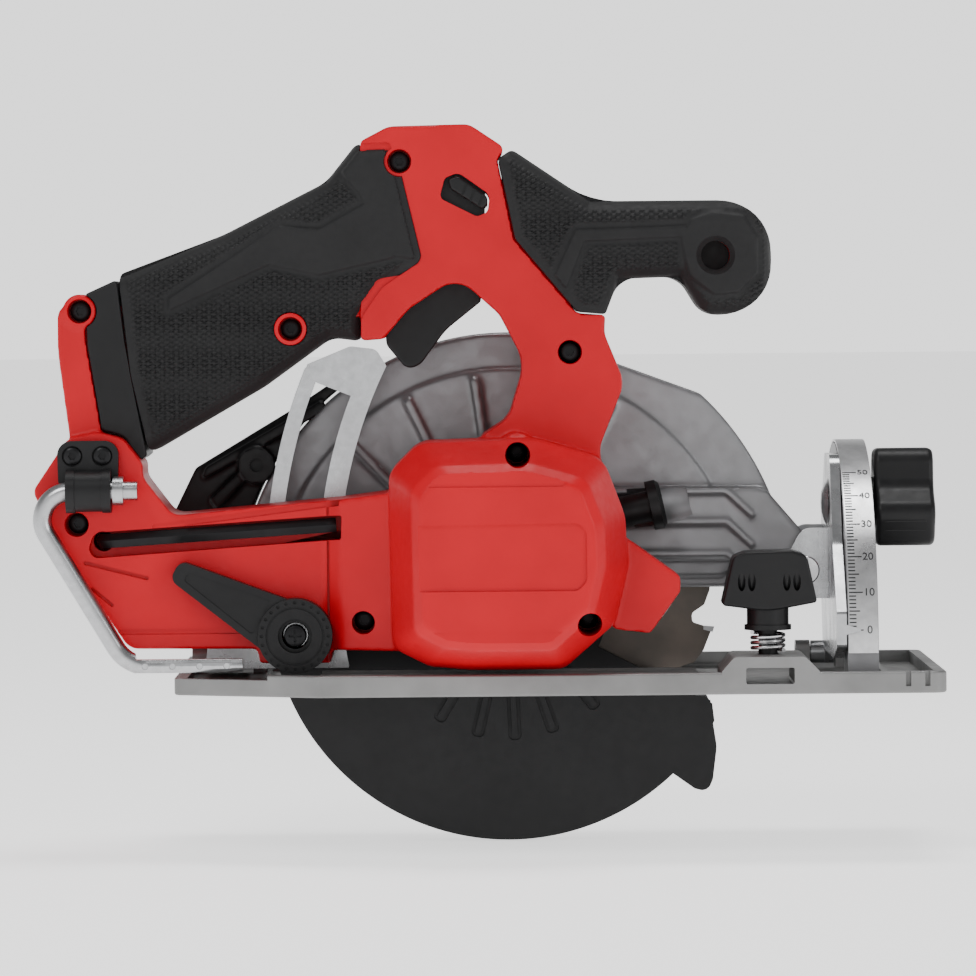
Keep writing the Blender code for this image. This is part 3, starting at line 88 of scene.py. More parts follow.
WELLS = {                      # X, Z, level of the mouth, level of the floor, tip of the screw
    "battery_ring": (-135.8, 121.6, -HANDLE_HALF, -11.0, 8.0),
    "head_top": (-33.6, 168.4, -HANDLE_HALF, -11.0, 10.0),
    "rear_grip": (-68.7, 115.4, -GRIP_HALF, -12.0, 10.0),
    "front_column": (20.2, 107.3, -HANDLE_HALF, -11.0, 10.0),
    "motor_top": (3.1, 75.6, -30.0, -14.0, 3.6),
    "hook_side": (-136.8, 54.0, ARM_FACE, -16.0, 4.6),
    "motor_front": (25.2, 22.6, -50.0, -20.0, 3.6),
    "arm_front": (-46.0, 22.5, -40.0, -16.0, 4.6),
}
PLANES = {                     # outline axes u, v and thickness axis w in the row frame
    "XZ": lambda u, v, w: Vector((u, w, v)) * MM,
    "YZ": lambda u, v, w: Vector((w, u, v)) * MM,
    "XY": lambda u, v, w: Vector((u, v, w)) * MM,
}

# outlines: corners (u, v, radius)
WHOLE_SAW = [(-200, -50, 0), (200, -50, 0), (200, 250, 0), (-200, 250, 0)]
REAR_GRIP = [(-123.2, 133.2, 2), (-90, 145.4, 30), (-57, 162, 12), (-47.5, 173.9, 3), (-36.9, 174.2, 1),
             (-33, 163.5, 1), (-26.8, 137, 3), (-39.5, 128.6, 9), (-46.3, 119, 8), (-46.8, 111.4, 1.5),
             (-56, 112.6, 8), (-78, 96.8, 30), (-113.9, 76.2, 2), (-119.6, 101, 30)]
HEAD = [(-46, 174.9, 1.5), (-46.2, 121, 2), (-46.3, 111.4, 1), (-39.2, 111.9, 1), (-31, 121.5, 10),
        (-15.5, 131.5, 8), (-2.2, 119.5, 6), (5.8, 104, 12), (0.5, 86.5, 8), (-8.5, 80.6, 2),
        (-8.5, 70, 1), (30.5, 66, 2), (29.5, 77, 8), (37.6, 97.5, 8), (31.3, 113, 6), (31.6, 119.0, 1),
        (22.5, 119.7, 3), (2.7, 143.2, 4), (-2.4, 168.8, 2), (0.2, 172.4, 2), (-11.3, 180.1, 5),
        (-37, 179.6, 6)]
FRONT_GRIP = [(-2.0, 169.0, 1), (3.2, 143.5, 3), (22.8, 120.1, 3), (31.6, 119.3, 1), (36, 130.6, 8),
              (55.4, 131.2, 8), (63, 118.8, 8), (84.8, 118.8, 17), (84.5, 155.2, 17), (27, 155.2, 25),
              (2.3, 171.9, 2)]
FRONT_BRIDGE = [(-10, 160, 0), (-2, 140, 0), (20, 122.6, 0), (29, 124, 0), (29, 140, 0), (14, 151, 0),
                (5, 162, 0)]
BRIDGE = [(-50, 116, 0), (-38, 130, 0), (-30, 140, 0), (-38, 168, 0), (-52, 160, 0)]
ARM = [(-33, 64, 1), (-53, 61.4, 20), (-106.3, 56.6, 5), (-115.8, 69, 5), (-115.6, 73, 1.5),
       (-122, 81.2, 5), (-130, 83.2, 3), (-139.5, 81.2, 4), (-150.8, 64.5, 3), (-136, 37.5, 10),
       (-120.5, 14.3, 5), (-80, 14, 0.5), (-79, 9.4, 0.5), (-56.5, 9.3, 0.5), (-56, 13.6, 0.5),
       (-30, 13.6, 1)]
STRAP = [(-139.2, 80, 1), (-128.8, 80, 1), (-129.9, 88.5, 4), (-133.7, 111, 10), (-134.5, 126.3, 1.5),
         (-142.8, 121.9, 3), (-142.8, 108, 20)]
SLEEVE = [(-129.3, 83.6, 2), (-122, 81.6, 4), (-117.6, 73.2, 1), (-114.7, 75.6, 1), (-121.3, 111, 40),
          (-123.8, 131.6, 1), (-134.0, 127.0, 1.5), (-133.4, 111, 10)]
MOTOR_COVER = [(-36.4, 15, 5), (-25, 9.2, 6), (-12, 8.0, 20), (17, 8.0, 6), (33, 22, 5), (37.4, 40, 12),
               (36.8, 56, 14), (30, 74, 8), (8, 80.4, 16), (-28, 79.4, 8), (-37.4, 70, 6)]
GEAR_CASE = [(-21, 5, 17), (21, 5, 17), (21.5, 38, 10), (31, 47, 3), (31, 63, 4), (-18, 63, 12),
             (-21.5, 40, 20)]
TRIGGER = [(-8, 123.6, 1), (-7.6, 134, 2), (-13, 136, 2), (-23, 133.5, 3), (-38.8, 117, 2), (-38.4, 110, 3),
           (-31.5, 101.6, 3.5), (-27.2, 104, 3), (-19.5, 114.5, 16)]
ARROW_PANEL = [(-107.6, 121.2, 1), (-107.6, 125.6, 1), (-72, 148.4, 4), (-59.3, 147.4, 4), (-42.5, 156.5, 2),
               (-46.5, 167.5, 1), (-38.5, 167.5, 1), (-35.2, 137.6, 1), (-59.4, 132.2, 4), (-75.3, 135.6, 4)]


# ---------------------------------------------------------------- outlines and solids

def polar(centre, radius, degrees):
    angle = math.radians(degrees)
    return centre[0] + radius * math.cos(angle), centre[1] + radius * math.sin(angle)


def arc(centre, radius, start, end, count):
    return [(*polar(centre, radius, start + (end - start) * k / count), 0.0) for k in range(count + 1)]


def hoop(centre, outer, inner, start, end, count):
    """Curved strip between two radii."""
    return arc(centre, outer, start, end, count) + arc(centre, inner, end, start, count)


def spoke(near, far, degrees, near_half, far_half, near_round, far_round):
    """Tapering bar along a radius of the arbor; the halves are its half widths in degrees."""
    return [(*polar(ARBOR, near, degrees - near_half), near_round),
            (*polar(ARBOR, far, degrees - far_half), far_round),
            (*polar(ARBOR, far, degrees + far_half), far_round),
            (*polar(ARBOR, near, degrees + near_half), near_round)]


def rectangle(low_u, low_v, high_u, high_v, radius=0.0):
    return [(low_u, low_v, radius), (high_u, low_v, radius), (high_u, high_v, radius),
            (low_u, high_v, radius)]


def ring_of(corners):
    """Corners in anticlockwise order."""
    area = sum(a[0] * b[1] - b[0] * a[1] for a, b in zip(corners, corners[1:] + corners[:1]))
    return list(corners) if area > 0 else list(reversed(corners))


def grown(corners, amount):
    """The outline with every side moved outwards by amount, or inwards where it is negative."""
    corners = ring_of(corners)
    total = len(corners)
    moved = []
    for i in range(total):
        before, here, after = (Vector(corners[(i + k) % total][:2]) for k in (-1, 0, 1))
        into, out = (here - before).normalized(), (after - here).normalized()
        left = Vector((-into.y, into.x)) + Vector((-out.y, out.x))
        spread = max(left.length_squared / 2, 0.2)
        turn = into.x * out.y - into.y * out.x
        radius = corners[i][2]
        if radius > 0:
            radius = max(radius + (amount if turn > 0 else -amount), 0.2)
        shift = left * (-amount / spread)
        moved.append((here.x + shift.x, here.y + shift.y, radius))
    return moved


def corner_reach(corners):
    """Turn of each corner and how far its round reaches along the sides, neighbours sharing a short side."""
    total = len(corners)
    turns, reaches = [], []
    for i in range(total):
        before, here, after = (Vector(corners[(i + k) % total][:2]) for k in (-1, 0, 1))
        turn = (here - before).angle(after - here)
        turns.append(turn)
        rounded = corners[i][2] > 0 and turn > 0.03
        reaches.append(corners[i][2] * math.tan(min(turn, 2.9) / 2) if rounded else 0.0)
    shares = [1.0] * total
    for i in range(total):
        j = (i + 1) % total
        side = (Vector(corners[j][:2]) - Vector(corners[i][:2])).length
        if reaches[i] + reaches[j] > 0.97 * side:
            share = 0.97 * side / (reaches[i] + reaches[j])
            shares[i], shares[j] = min(shares[i], share), min(shares[j], share)
    return turns, [reach * share for reach, share in zip(reaches, shares)]


def flat(corners, level, plane, fineness):
    """One face with the outline's corners rounded; fineness is degrees of turn per facet."""
    corners = ring_of(corners)
    turns, reaches = corner_reach(corners)
    bm = bmesh.new()
    verts = [bm.verts.new(PLANES[plane](u, v, level)) for u, v, _ in corners]
    bm.faces.new(verts)
    for vert, turn, reach in zip(verts, turns, reaches):
        if reach > 0:
            segments = max(2, round(math.degrees(turn) / fineness))
            bmesh.ops.bevel(bm, geom=[vert], offset=reach * MM, offset_type="OFFSET", affect="VERTICES",
                            segments=segments, profile=0.5, clamp_overlap=False, material=-1)
    bm.normal_update()
    return bm


def extruded(bm, step):
    """Pulls the newest cap outwards by a vector and returns the new cap's face."""
    cap = max(bm.faces, key=lambda f: f.calc_center_median().dot(step))
    out = bmesh.ops.extrude_face_region(bm, geom=[cap])
    bmesh.ops.translate(bm, vec=step, verts=[v for v in out["geom"] if isinstance(v, bmesh.types.BMVert)])
    return [f for f in out["geom"] if isinstance(f, bmesh.types.BMFace)][0]


def linked(name, data):
    made = bpy.data.objects.new(name, data)
    bpy.context.scene.collection.objects.link(made)
    return made


def solid(bm):
    """Object made from a finished bmesh, its faces turned outwards."""
    bmesh.ops.recalc_face_normals(bm, faces=bm.faces)
    mesh = bpy.data.meshes.new("solid")
    bm.to_mesh(mesh)
    bm.free()
    return linked("solid", mesh)


def mesh_of(name, curve):
    """Mesh of a curve or of lettering, its guide object removed."""
    guide = linked(name, curve)
    bpy.context.view_layer.update()
    mesh = bpy.data.meshes.new_from_object(guide.evaluated_get(bpy.context.evaluated_depsgraph_get()))
    bpy.data.objects.remove(guide)
    return mesh


def slab(corners, low, high, plane="XZ", fineness=9.0):
    bm = flat(corners, low, plane, fineness)
    extruded(bm, PLANES[plane](0, 0, high - low))
    bmesh.ops.triangulate(bm, faces=[f for f in bm.faces if len(f.verts) > 4])
    return solid(bm)


def tapered(corners, levels, plane="XZ", fineness=9.0):
    """Solid whose outline is drawn in at each further level: levels are (level, inset so far)."""
    bm = flat(corners, levels[0][0], plane, fineness)
    low_u, high_u = min(u for u, _, _ in corners), max(u for u, _, _ in corners)
    low_v, high_v = min(v for _, v, _ in corners), max(v for _, v, _ in corners)
    middle = PLANES[plane]((low_u + high_u) / 2, (low_v + high_v) / 2, 0)
    for (low, drawn), (high, inset) in zip(levels, levels[1:]):
        cap = extruded(bm, PLANES[plane](0, 0, high - low))
        shares = [(size / 2 - inset) / (size / 2 - drawn) for size in (high_u - low_u, high_v - low_v)]
        factors = PLANES[plane](shares[0], shares[1], 1.0) / MM
        bmesh.ops.scale(bm, vec=factors, space=Matrix.Translation(-middle), verts=cap.verts)
    bmesh.ops.triangulate(bm, faces=[f for f in bm.faces if len(f.verts) > 4])
    return solid(bm)


def drum(centre, radius, low, high, plane="XZ", segments=64, top=None):
    bm = bmesh.new()
    bmesh.ops.create_cone(bm, cap_ends=True, segments=segments, radius1=radius * MM,
                          radius2=(radius if top is None else top) * MM, depth=(high - low) * MM)
    axes = Matrix([PLANES[plane](*unit) / MM for unit in ((1, 0, 0), (0, 1, 0), (0, 0, 1))]).transposed()
    middle = PLANES[plane](centre[0], centre[1], (low + high) / 2)
    bmesh.ops.transform(bm, matrix=Matrix.Translation(middle) @ axes.to_4x4(), verts=bm.verts)
    return solid(bm)


def rod(start, end, radius, segments=40, end_radius=None):
    first, last = Vector(start) * MM, Vector(end) * MM
    bm = bmesh.new()
    bmesh.ops.create_cone(bm, cap_ends=True, segments=segments, radius1=radius * MM,
                          radius2=(radius if end_radius is None else end_radius) * MM,
                          depth=(last - first).length)
    turn = (last - first).to_track_quat("Z", "Y").to_matrix().to_4x4()
    bmesh.ops.transform(bm, matrix=Matrix.Translation((first + last) / 2) @ turn, verts=bm.verts)
    return solid(bm)


def turned(profile, centre, plane="XZ", steps=48):
    """Profile (radius, level) spun about an axis normal to the plane."""
    u, v = centre
    bm = bmesh.new()
    points = [bm.verts.new(PLANES[plane](u + r, v, level)) for r, level in profile]
    edges = [bm.edges.new(pair) for pair in zip(points, points[1:])]
    if all(r > 0 for r, _ in profile):
        edges.append(bm.edges.new((points[-1], points[0])))
    bmesh.ops.spin(bm, geom=points + edges, cent=PLANES[plane](u, v, 0), axis=PLANES[plane](0, 0, 1) / MM,
                   angle=math.tau, steps=steps, use_merge=True)
    bmesh.ops.remove_doubles(bm, verts=bm.verts, dist=0.000005)
    return solid(bm)


def bay_box(along_low, along_high, half_across, half_side, radius):
    """Rounded box on the slanted axis of the battery bay."""
    bm = flat(rectangle(-half_side, -half_across, half_side, half_across, radius), along_low, "YZ", 15)
    extruded(bm, Vector(((along_high - along_low) * MM, 0, 0)))
    turn = Matrix.Rotation(-BAY_ANGLE, 4, "Y")
    place = Matrix.Translation((BAY_MOUTH[0] * MM, 0, BAY_MOUTH[1] * MM))
    bmesh.ops.transform(bm, matrix=place @ turn, verts=bm.verts)
    return solid(bm)


def tube(points, radius, sides=6, closed=False):
    """Round wire along points, as a bevelled curve made into a mesh."""
    curve = bpy.data.curves.new("tube", "CURVE")
    curve.dimensions = "3D"
    curve.bevel_depth = radius * MM
    curve.bevel_resolution = sides
    curve.use_fill_caps = True
    spline = curve.splines.new("POLY")
    spline.points.add(len(points) - 1)
    spline.use_cyclic_u = closed
    for target, point in zip(spline.points, points):
        target.co = (*(Vector(point) * MM), 1.0)
    bm = bmesh.new()
    bm.from_mesh(mesh_of("tube", curve))
    bmesh.ops.remove_doubles(bm, verts=bm.verts, dist=0.000005)
    return solid(bm)


def route(corners, step=6.0):
    """Open path through corners (u, v, radius), the inner ones rounded."""
    points = [corners[0][:2]]
    for before, here, after in zip(corners, corners[1:], corners[2:]):
        p0, p1, p2 = Vector(before[:2]), Vector(here[:2]), Vector(after[:2])
        into, out = (p1 - p0).normalized(), (p2 - p1).normalized()
        turn = math.atan2(into.x * out.y - into.y * out.x, into.dot(out))
        side = 1 if turn > 0 else -1
        begin = p1 - into * here[2] * math.tan(abs(turn) / 2)
        centre = begin + Vector((-into.y, into.x)) * here[2] * side
        first = math.degrees(math.atan2(begin.y - centre.y, begin.x - centre.x))
        count = max(2, round(abs(math.degrees(turn)) / step))
        points += [p[:2] for p in arc(centre, here[2], first, first + math.degrees(turn), count)]
    return points + [corners[-1][:2]]


# ---------------------------------------------------------------- joining, cutting, finishing

def settle(piece):
    """Applies a piece's modifiers to its mesh."""
    evaluated = piece.evaluated_get(bpy.context.evaluated_depsgraph_get())
    mesh = bpy.data.meshes.new_from_object(evaluated)
    piece.modifiers.clear()
    piece.data = mesh
    return piece


def combine(piece, operation, others):
    for other in others:
        boolean = piece.modifiers.new("boolean", "BOOLEAN")
        boolean.operation = operation
        boolean.solver = "MANIFOLD"
        boolean.object = other
        settle(piece)
        bpy.data.objects.remove(other)
    return piece


def join(piece, *others):
    return combine(piece, "UNION", others)


def cut(piece, *others):
    return combine(piece, "DIFFERENCE", others)


def keep(piece, other):
    return combine(piece, "INTERSECT", [other])


def twin(piece):
    return linked(piece.name, piece.data.copy())


def heap(*pieces):
    """Gathers overlapping solids in one mesh, for a remesh to fuse."""
    bm = bmesh.new()
    for piece in pieces:
        bm.from_mesh(piece.data)
        bpy.data.objects.remove(piece)
    mesh = bpy.data.meshes.new("heap")
    bm.to_mesh(mesh)
    bm.free()
    return linked("heap", mesh)


def moulded(piece, voxel, rounds):
    """Fuses a heap of solids and rounds every edge, as a moulded or cast piece has them."""
    remesh = piece.modifiers.new("remesh", "REMESH")
    remesh.mode = "VOXEL"
    remesh.voxel_size = voxel * MM
    remesh.adaptivity = 0.0
    smooth = piece.modifiers.new("smooth", "SMOOTH")
    smooth.factor = 0.5
    smooth.iterations = rounds
    return settle(piece)


def thinned(piece, limit):
    """Thins flat stretches until the piece has no more triangles than the limit."""
    count = sum(len(p.vertices) - 2 for p in piece.data.polygons)
    if count > limit:
        decimate = piece.modifiers.new("thin", "DECIMATE")
        decimate.ratio = limit / count
        settle(piece)
    return piece


def eased(piece, width, segments=2, angle=32.0):
    """Small rounds on the sharp edges of a machined or pressed piece."""
    bm = bmesh.new()
    bm.from_mesh(piece.data)
    bmesh.ops.remove_doubles(bm, verts=bm.verts, dist=0.000002)
    bmesh.ops.dissolve_limit(bm, angle_limit=math.radians(1.0), verts=bm.verts, edges=bm.edges)
    bm.to_mesh(piece.data)
    bm.free()
    bevel = piece.modifiers.new("ease", "BEVEL")
    bevel.width = width * MM
    bevel.segments = segments
    bevel.limit_method = "ANGLE"
    bevel.angle_limit = math.radians(angle)
    bevel.use_clamp_overlap = True
    bevel.harden_normals = False
    return settle(piece)


def finish_piece(piece, name, body, nodes, slot, angle=35.0, finish=None):
    """Names a piece, paints it, and hangs it on its body in place of its CAD nodes."""
    piece.name = name
    piece.data.name = name
    piece.data.materials.clear()
    piece.data.materials.append(FINISH[finish or slot])
    piece.data.shade_smooth()
    piece.data.set_sharp_from_angle(angle=math.radians(angle))
    weighted = piece.modifiers.new("weighted", "WEIGHTED_NORMAL")
    weighted.keep_sharp = True
    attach(piece, body)
    if nodes:
        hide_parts(*nodes)
    return piece


# ---------------------------------------------------------------- materials

def start_material(name, colour, roughness, metallic=0.0):
    made = bpy.data.materials.new(name)
    made.use_nodes = True
    shader = made.node_tree.nodes["Principled BSDF"]
    shader.inputs["Base Color"].default_value = (*colour, 1.0)
    shader.inputs["Roughness"].default_value = roughness
    shader.inputs["Metallic"].default_value = metallic
    place = made.node_tree.nodes.new("ShaderNodeTexCoord").outputs["Object"]
    return made, shader, place


def noise(made, place, scale, detail=3.0, stretch=None):
    tree = made.node_tree
    texture = tree.nodes.new("ShaderNodeTexNoise")
    texture.inputs["Scale"].default_value = scale
    texture.inputs["Detail"].default_value = detail
    if stretch:
        mapping = tree.nodes.new("ShaderNodeMapping")
        mapping.inputs["Scale"].default_value = stretch
        tree.links.new(place, mapping.inputs["Vector"])
        place = mapping.outputs["Vector"]
    tree.links.new(place, texture.inputs["Vector"])
    return texture.outputs["Fac"]


def ranged(made, value, low, high, start=0.3, end=0.7):
    node = made.node_tree.nodes.new("ShaderNodeMapRange")
    node.inputs["From Min"].default_value = start
    node.inputs["From Max"].default_value = end
    node.inputs["To Min"].default_value = low
    node.inputs["To Max"].default_value = high
    made.node_tree.links.new(value, node.inputs["Value"])
    return node.outputs["Result"]


def blended(made, value, first, second):
    node = made.node_tree.nodes.new("ShaderNodeMix")
    node.data_type = "RGBA"
    node.inputs["A"].default_value = (*first, 1.0)
    node.inputs["B"].default_value = (*second, 1.0)
    made.node_tree.links.new(value, node.inputs["Factor"])
    return node.outputs["Result"]


def bumped(made, shader, height, strength, distance):
    bump = made.node_tree.nodes.new("ShaderNodeBump")
    bump.inputs["Strength"].default_value = strength
    bump.inputs["Distance"].default_value = distance
    made.node_tree.links.new(height, bump.inputs["Height"])
    made.node_tree.links.new(bump.outputs["Normal"], shader.inputs["Normal"])


def grained(name, colour, shade, roughness, metallic, grain, depth, patch=45.0):
    """Moulded or cast finish: slow colour drift, a fine grain in the surface and uneven gloss."""
    made, shader, place = start_material(name, colour, roughness, metallic)
    shader.inputs["Specular IOR Level"].default_value = 0.22
    links = made.node_tree.links
    drift = noise(made, place, patch, 2.0)
    links.new(blended(made, ranged(made, drift, 0.0, 1.0), colour, shade), shader.inputs["Base Color"])
    links.new(ranged(made, noise(made, place, grain / 6, 4.0), roughness - 0.05, roughness + 0.07),
              shader.inputs["Roughness"])
    bumped(made, shader, noise(made, place, grain, 2.0), 0.5, depth * MM)
    return made


def brushed(name, colour, roughness, stretch, metallic=1.0):
    """Bright metal with fine lines along one axis and small handling marks."""
    made, shader, place = start_material(name, colour, roughness, metallic)
    links = made.node_tree.links
    shade = tuple(0.84 * part for part in colour)
    drift = ranged(made, noise(made, place, 420.0, 5.0), 0.0, 1.0)
    links.new(blended(made, drift, colour, shade), shader.inputs["Base Color"])
    marks = noise(made, place, 60.0, 5.0)
    links.new(ranged(made, marks, roughness - 0.06, roughness + 0.12), shader.inputs["Roughness"])
    lines = noise(made, place, 900.0, 3.0, stretch)
    bumped(made, shader, lines, 0.35, 0.00006)
    return made


def blade_steel():
    """Dark blade plate with rings ground about the arbor and a faint brown tint."""
    made, shader, place = start_material("blade_steel", (0.12, 0.105, 0.095), 0.38, 0.9)
    tree = made.node_tree
    centred = tree.nodes.new("ShaderNodeMapping")
    centred.inputs["Location"].default_value = (0, -BLADE_LEVEL * MM, -ARBOR[1] * MM)
    tree.links.new(place, centred.inputs["Vector"])
    rings = tree.nodes.new("ShaderNodeTexWave")
    rings.wave_type = "RINGS"
    rings.rings_direction = "Y"
    rings.inputs["Scale"].default_value = 900.0
    rings.inputs["Distortion"].default_value = 1.5
    tree.links.new(centred.outputs["Vector"], rings.inputs["Vector"])
    drift = noise(made, place, 50.0, 4.0)
    tree.links.new(blended(made, ranged(made, drift, 0, 1), (0.13, 0.11, 0.095), (0.07, 0.065, 0.06)),
                   shader.inputs["Base Color"])
    tree.links.new(ranged(made, rings.outputs["Fac"], 0.3, 0.45, 0, 1), shader.inputs["Roughness"])
    bumped(made, shader, rings.outputs["Fac"], 0.25, 0.00003)
    return made


def knurled_rubber():
    made = grained("grip_rubber", (0.0095, 0.0095, 0.01), (0.013, 0.013, 0.0135), 0.6, 0.0, 2600.0, 0.05)
    made.node_tree.nodes["Principled BSDF"].inputs["Sheen Weight"].default_value = 0.04
    return made


def clear_lens():
    made, shader, place = start_material("lens_plastic", (0.85, 0.88, 0.9), 0.08)
    shader.inputs["Transmission Weight"].default_value = 0.6
    bumped(made, shader, noise(made, place, 900.0, 1.0), 0.2, 0.0001)
    return made


def make_finishes():
    """Every finish of the saw, by the name of its material slot or of the piece that alone has it."""
    return {
        "red_plastic": grained("red_nylon", (0.52, 0.0, 0.009), (0.45, 0.0, 0.007), 0.4, 0.0, 2400.0, 0.02),
        "black_rubber": knurled_rubber(),
        "black_plastic": grained("black_nylon", (0.006, 0.006, 0.0065), (0.009, 0.009, 0.0095), 0.4, 0.0,
                                 2200.0, 0.03),
        "black_oxide": grained("blackened_steel", (0.012, 0.012, 0.013), (0.02, 0.02, 0.021), 0.34, 0.6,
                               3000.0, 0.01),
        "grey_casting": grained("cast_alloy", (0.27, 0.27, 0.28), (0.22, 0.22, 0.225), 0.44, 0.75, 1500.0,
                                0.05),
        "shoe_casting": grained("cast_shoe", (0.24, 0.24, 0.238), (0.19, 0.19, 0.188), 0.48, 0.7, 1500.0,
                                0.05),
        "zinc_plate": brushed("bright_zinc", (0.46, 0.465, 0.475), 0.24, (1.0, 1.0, 0.15)),
        "bright_steel": brushed("turned_steel", (0.66, 0.66, 0.67), 0.24, (0.2, 1.0, 1.0)),
        "motor_steel": brushed("motor_steel", (0.3, 0.28, 0.26), 0.4, (1.0, 6.0, 1.0)),
        "scale_face": brushed("scale_strip", (0.72, 0.72, 0.73), 0.3, (1.0, 0.2, 0.2)),
        "dark_steel": blade_steel(),
        "lens": clear_lens(),
        "circuit_board": grained("board_laminate", (0.02, 0.16, 0.06), (0.015, 0.1, 0.04), 0.5, 0.0, 900.0,
                                 0.05),
        "ink": grained("scale_ink", (0.015, 0.015, 0.016), (0.02, 0.02, 0.02), 0.5, 0.0, 2000.0, 0.01),
        "carbide": brushed("carbide", (0.42, 0.42, 0.43), 0.3, (1.0, 1.0, 1.0)),
    }


FINISH = make_finishes()


# ---------------------------------------------------------------- housing

def motor_bulge():
    """Motor cover: straight side, then a crown drawn in towards its flat face."""
    return tapered(MOTOR_COVER, [(-SEAM, 0), (-46, 0), (-52, 2.5), (-63, 7.0), (MOTOR_FACE, 10.0)])


def led_pod():
    """Nose of the motor cover that carries the work light."""
    corners = [(33, 20, 1), (44.6, 18.6, 1), (54.2, 31.8, 1.5), (54.2, 36.4, 1.5), (34, 51, 2)]
    return slab(corners, -38.0, -20.0)


def lock_off_slots():
    """Openings for the lock-off slider, one in each side."""
    corners = [(-20.9, 156.6, 2), (-9.0, 150.6, 2), (-5.6, 152.0, 2), (-4.9, 157.6, 3), (-14.9, 164.7, 3),
               (-19.2, 163.0, 2)]
    return slab(corners, -30.0, -9.0), slab(corners, 9.0, 30.0)


def lock_line(distance):
    """Point on the spindle lock's slanted axis, measured outwards from the motor shaft."""
    return (MOTOR[0] + distance * math.cos(LOCK_ANGLE), 6.0,
            MOTOR[1] + 0.4 + distance * math.sin(LOCK_ANGLE))


def housing_shell():
    """Both halves as one moulded body; the parting cut comes later."""
    shoulder = [(-60, -20, 0), (-58, -26.2, 2), (-53, -30.5, 6), (-37, -37.5, 1), (-30, -37.5, 1),
                (-30, -20, 0)]
    flare = keep(slab(shoulder, 10.0, 66.0, "XY"), slab(ARM, -60, 0))
    shell = heap(
        slab(HEAD, -HANDLE_HALF, HANDLE_HALF), slab(grown(REAR_GRIP, -3.6), -GRIP_CORE, GRIP_CORE),
        slab(grown(FRONT_GRIP, -3.6), -GRIP_CORE, GRIP_CORE), slab(FRONT_BRIDGE, -GRIP_CORE, GRIP_CORE),
        slab(BRIDGE, -GRIP_CORE, GRIP_CORE), slab(STRAP, -HANDLE_HALF, HANDLE_HALF),
        slab(ARM, ARM_FACE, 5.4), flare, motor_bulge(), slab(grown(MOTOR_COVER, -0.8), -4.0, 4.0), led_pod(),
        drum(WELLS["rear_grip"][:2], 5.1, -19.3, 0), drum(WELLS["motor_top"][:2], 6.4, -31, 0),
        drum(WELLS["battery_ring"][:2], 5.4, -18.0, 0),
    )
    return moulded(shell, 0.7, 5)


def grip_recess():
    """Sunk fields on the head that the rear grip's rubber lies in."""
    fields = []
    for low, high in ((-30.0, -GRIP_HALF + 2.3), (GRIP_HALF - 2.3, 30.0)):
        fields.append(slab(grown(REAR_GRIP, GAP), low, high))
    cut(fields[0], drum(WELLS["head_top"][:2], 4.7, -40, 0))
    return fields


def tapered_collar():
    """Red ring round the screw in the rear grip."""
    return turned([(0, -19.2), (4.6, -19.2), (5.1, -18.8), (5.1, -10), (0, -10)], WELLS["rear_grip"][:2],
                  steps=40)


def hollows():
    """Room inside for the switch, board, motor and gear case."""
    head = [(-31, 133, 3), (-14, 137, 6), (3.5, 121, 8), (11, 104, 10), (7, 88, 8), (24, 84, 4), (31, 97, 6),
            (24, 112, 6), (10, 124, 3), (-2, 142, 4), (-7.5, 168, 3), (-13, 175, 4), (-24, 175, 3),
            (-30, 152, 3)]
    arm = [(-112, 34, 4), (-84, 34, 2), (-84, 26, 2), (-58, 26, 2), (-52, 30, 2), (-40, 30, 2), (-40, 54, 2),
           (-78, 46, 2), (-112, 43, 4)]
    return [slab(head, -14.5, 14.5), slab(arm, -20.0, 0), drum(MOTOR, 25.6, -62.0, 0.0),
            slab(grown(GEAR_CASE, GAP), -3.4, 22.0), drum(ARBOR, 8.0, -8.0, 3.0)]


def trigger_pocket():
    """Room the trigger swings in."""
    corners = [(-4.6, 121.5, 1), (-4.6, 139, 1), (-20, 141, 2), (-45, 125.5, 2), (-44.6, 112, 1),
               (-38.5, 106, 1), (-20, 110, 2)]
    return slab(corners, -8.3, 8.3)


def well(x, z, mouth, floor, tip):
    """Stepped screw hole, open to the outside."""
    return turned([(0, mouth - 40), (3.9, mouth - 40), (3.9, mouth), (3.7, mouth + 1.0), (3.7, floor),
                   (1.8, floor), (1.8, tip + 0.6), (0, tip + 0.6)], (x, z), steps=40)


def cover_details(shell):
    """Creases, a sunk panel and the parting steps on the near side."""
    panel = slab([(-31.5, 54.0, 3), (-31.5, 36.5, 3), (-29, 33.6, 3), (21.5, 33.6, 3), (24.3, 36.5, 3),
                  (24.3, 51.8, 3), (21.8, 54.6, 3)], MOTOR_FACE - 3, MOTOR_FACE + 0.9)
    cut(shell, panel)
    for low, high in ((15.5, 21.0), (66.0, 71.5)):
        groove = slab([(-25, low, 1), (17, low, 1), (20, (low + high) / 2, 1), (17, high, 1), (-25, high, 1),
                       (-28, (low + high) / 2, 1)], MOTOR_FACE - 4, MOTOR_FACE + 0.5)
        cut(shell, groove)
    for corners, depth in (
            ([(-113, 53.8, 1.0), (-113, 51.9, 1.0), (-52, 59.5, 1), (-52, 61.4, 1)], 0.8),
            ([(-124, 20.6, 1), (-124, 18.9, 1), (-84, 18.9, 1), (-84, 20.6, 1)], 0.8),
            ([(-57.5, 64, 0.3), (-57.5, 8, 0.3), (-56.7, 8, 0.3), (-56.7, 64, 0.3)], 0.7),
            ([(-134.7, 42.6, 0.6), (-134.7, 41.2, 0.6), (-114.1, 36.0, 0.6), (-114.1, 37.4, 0.6)], 1.4),
            ([(-132.5, 34.6, 0.6), (-132.5, 33.2, 0.6), (-125.3, 27.2, 0.6), (-125.3, 28.6, 0.6)], 1.4)):
        cut(shell, slab(corners, ARM_FACE - 4, ARM_FACE + depth))


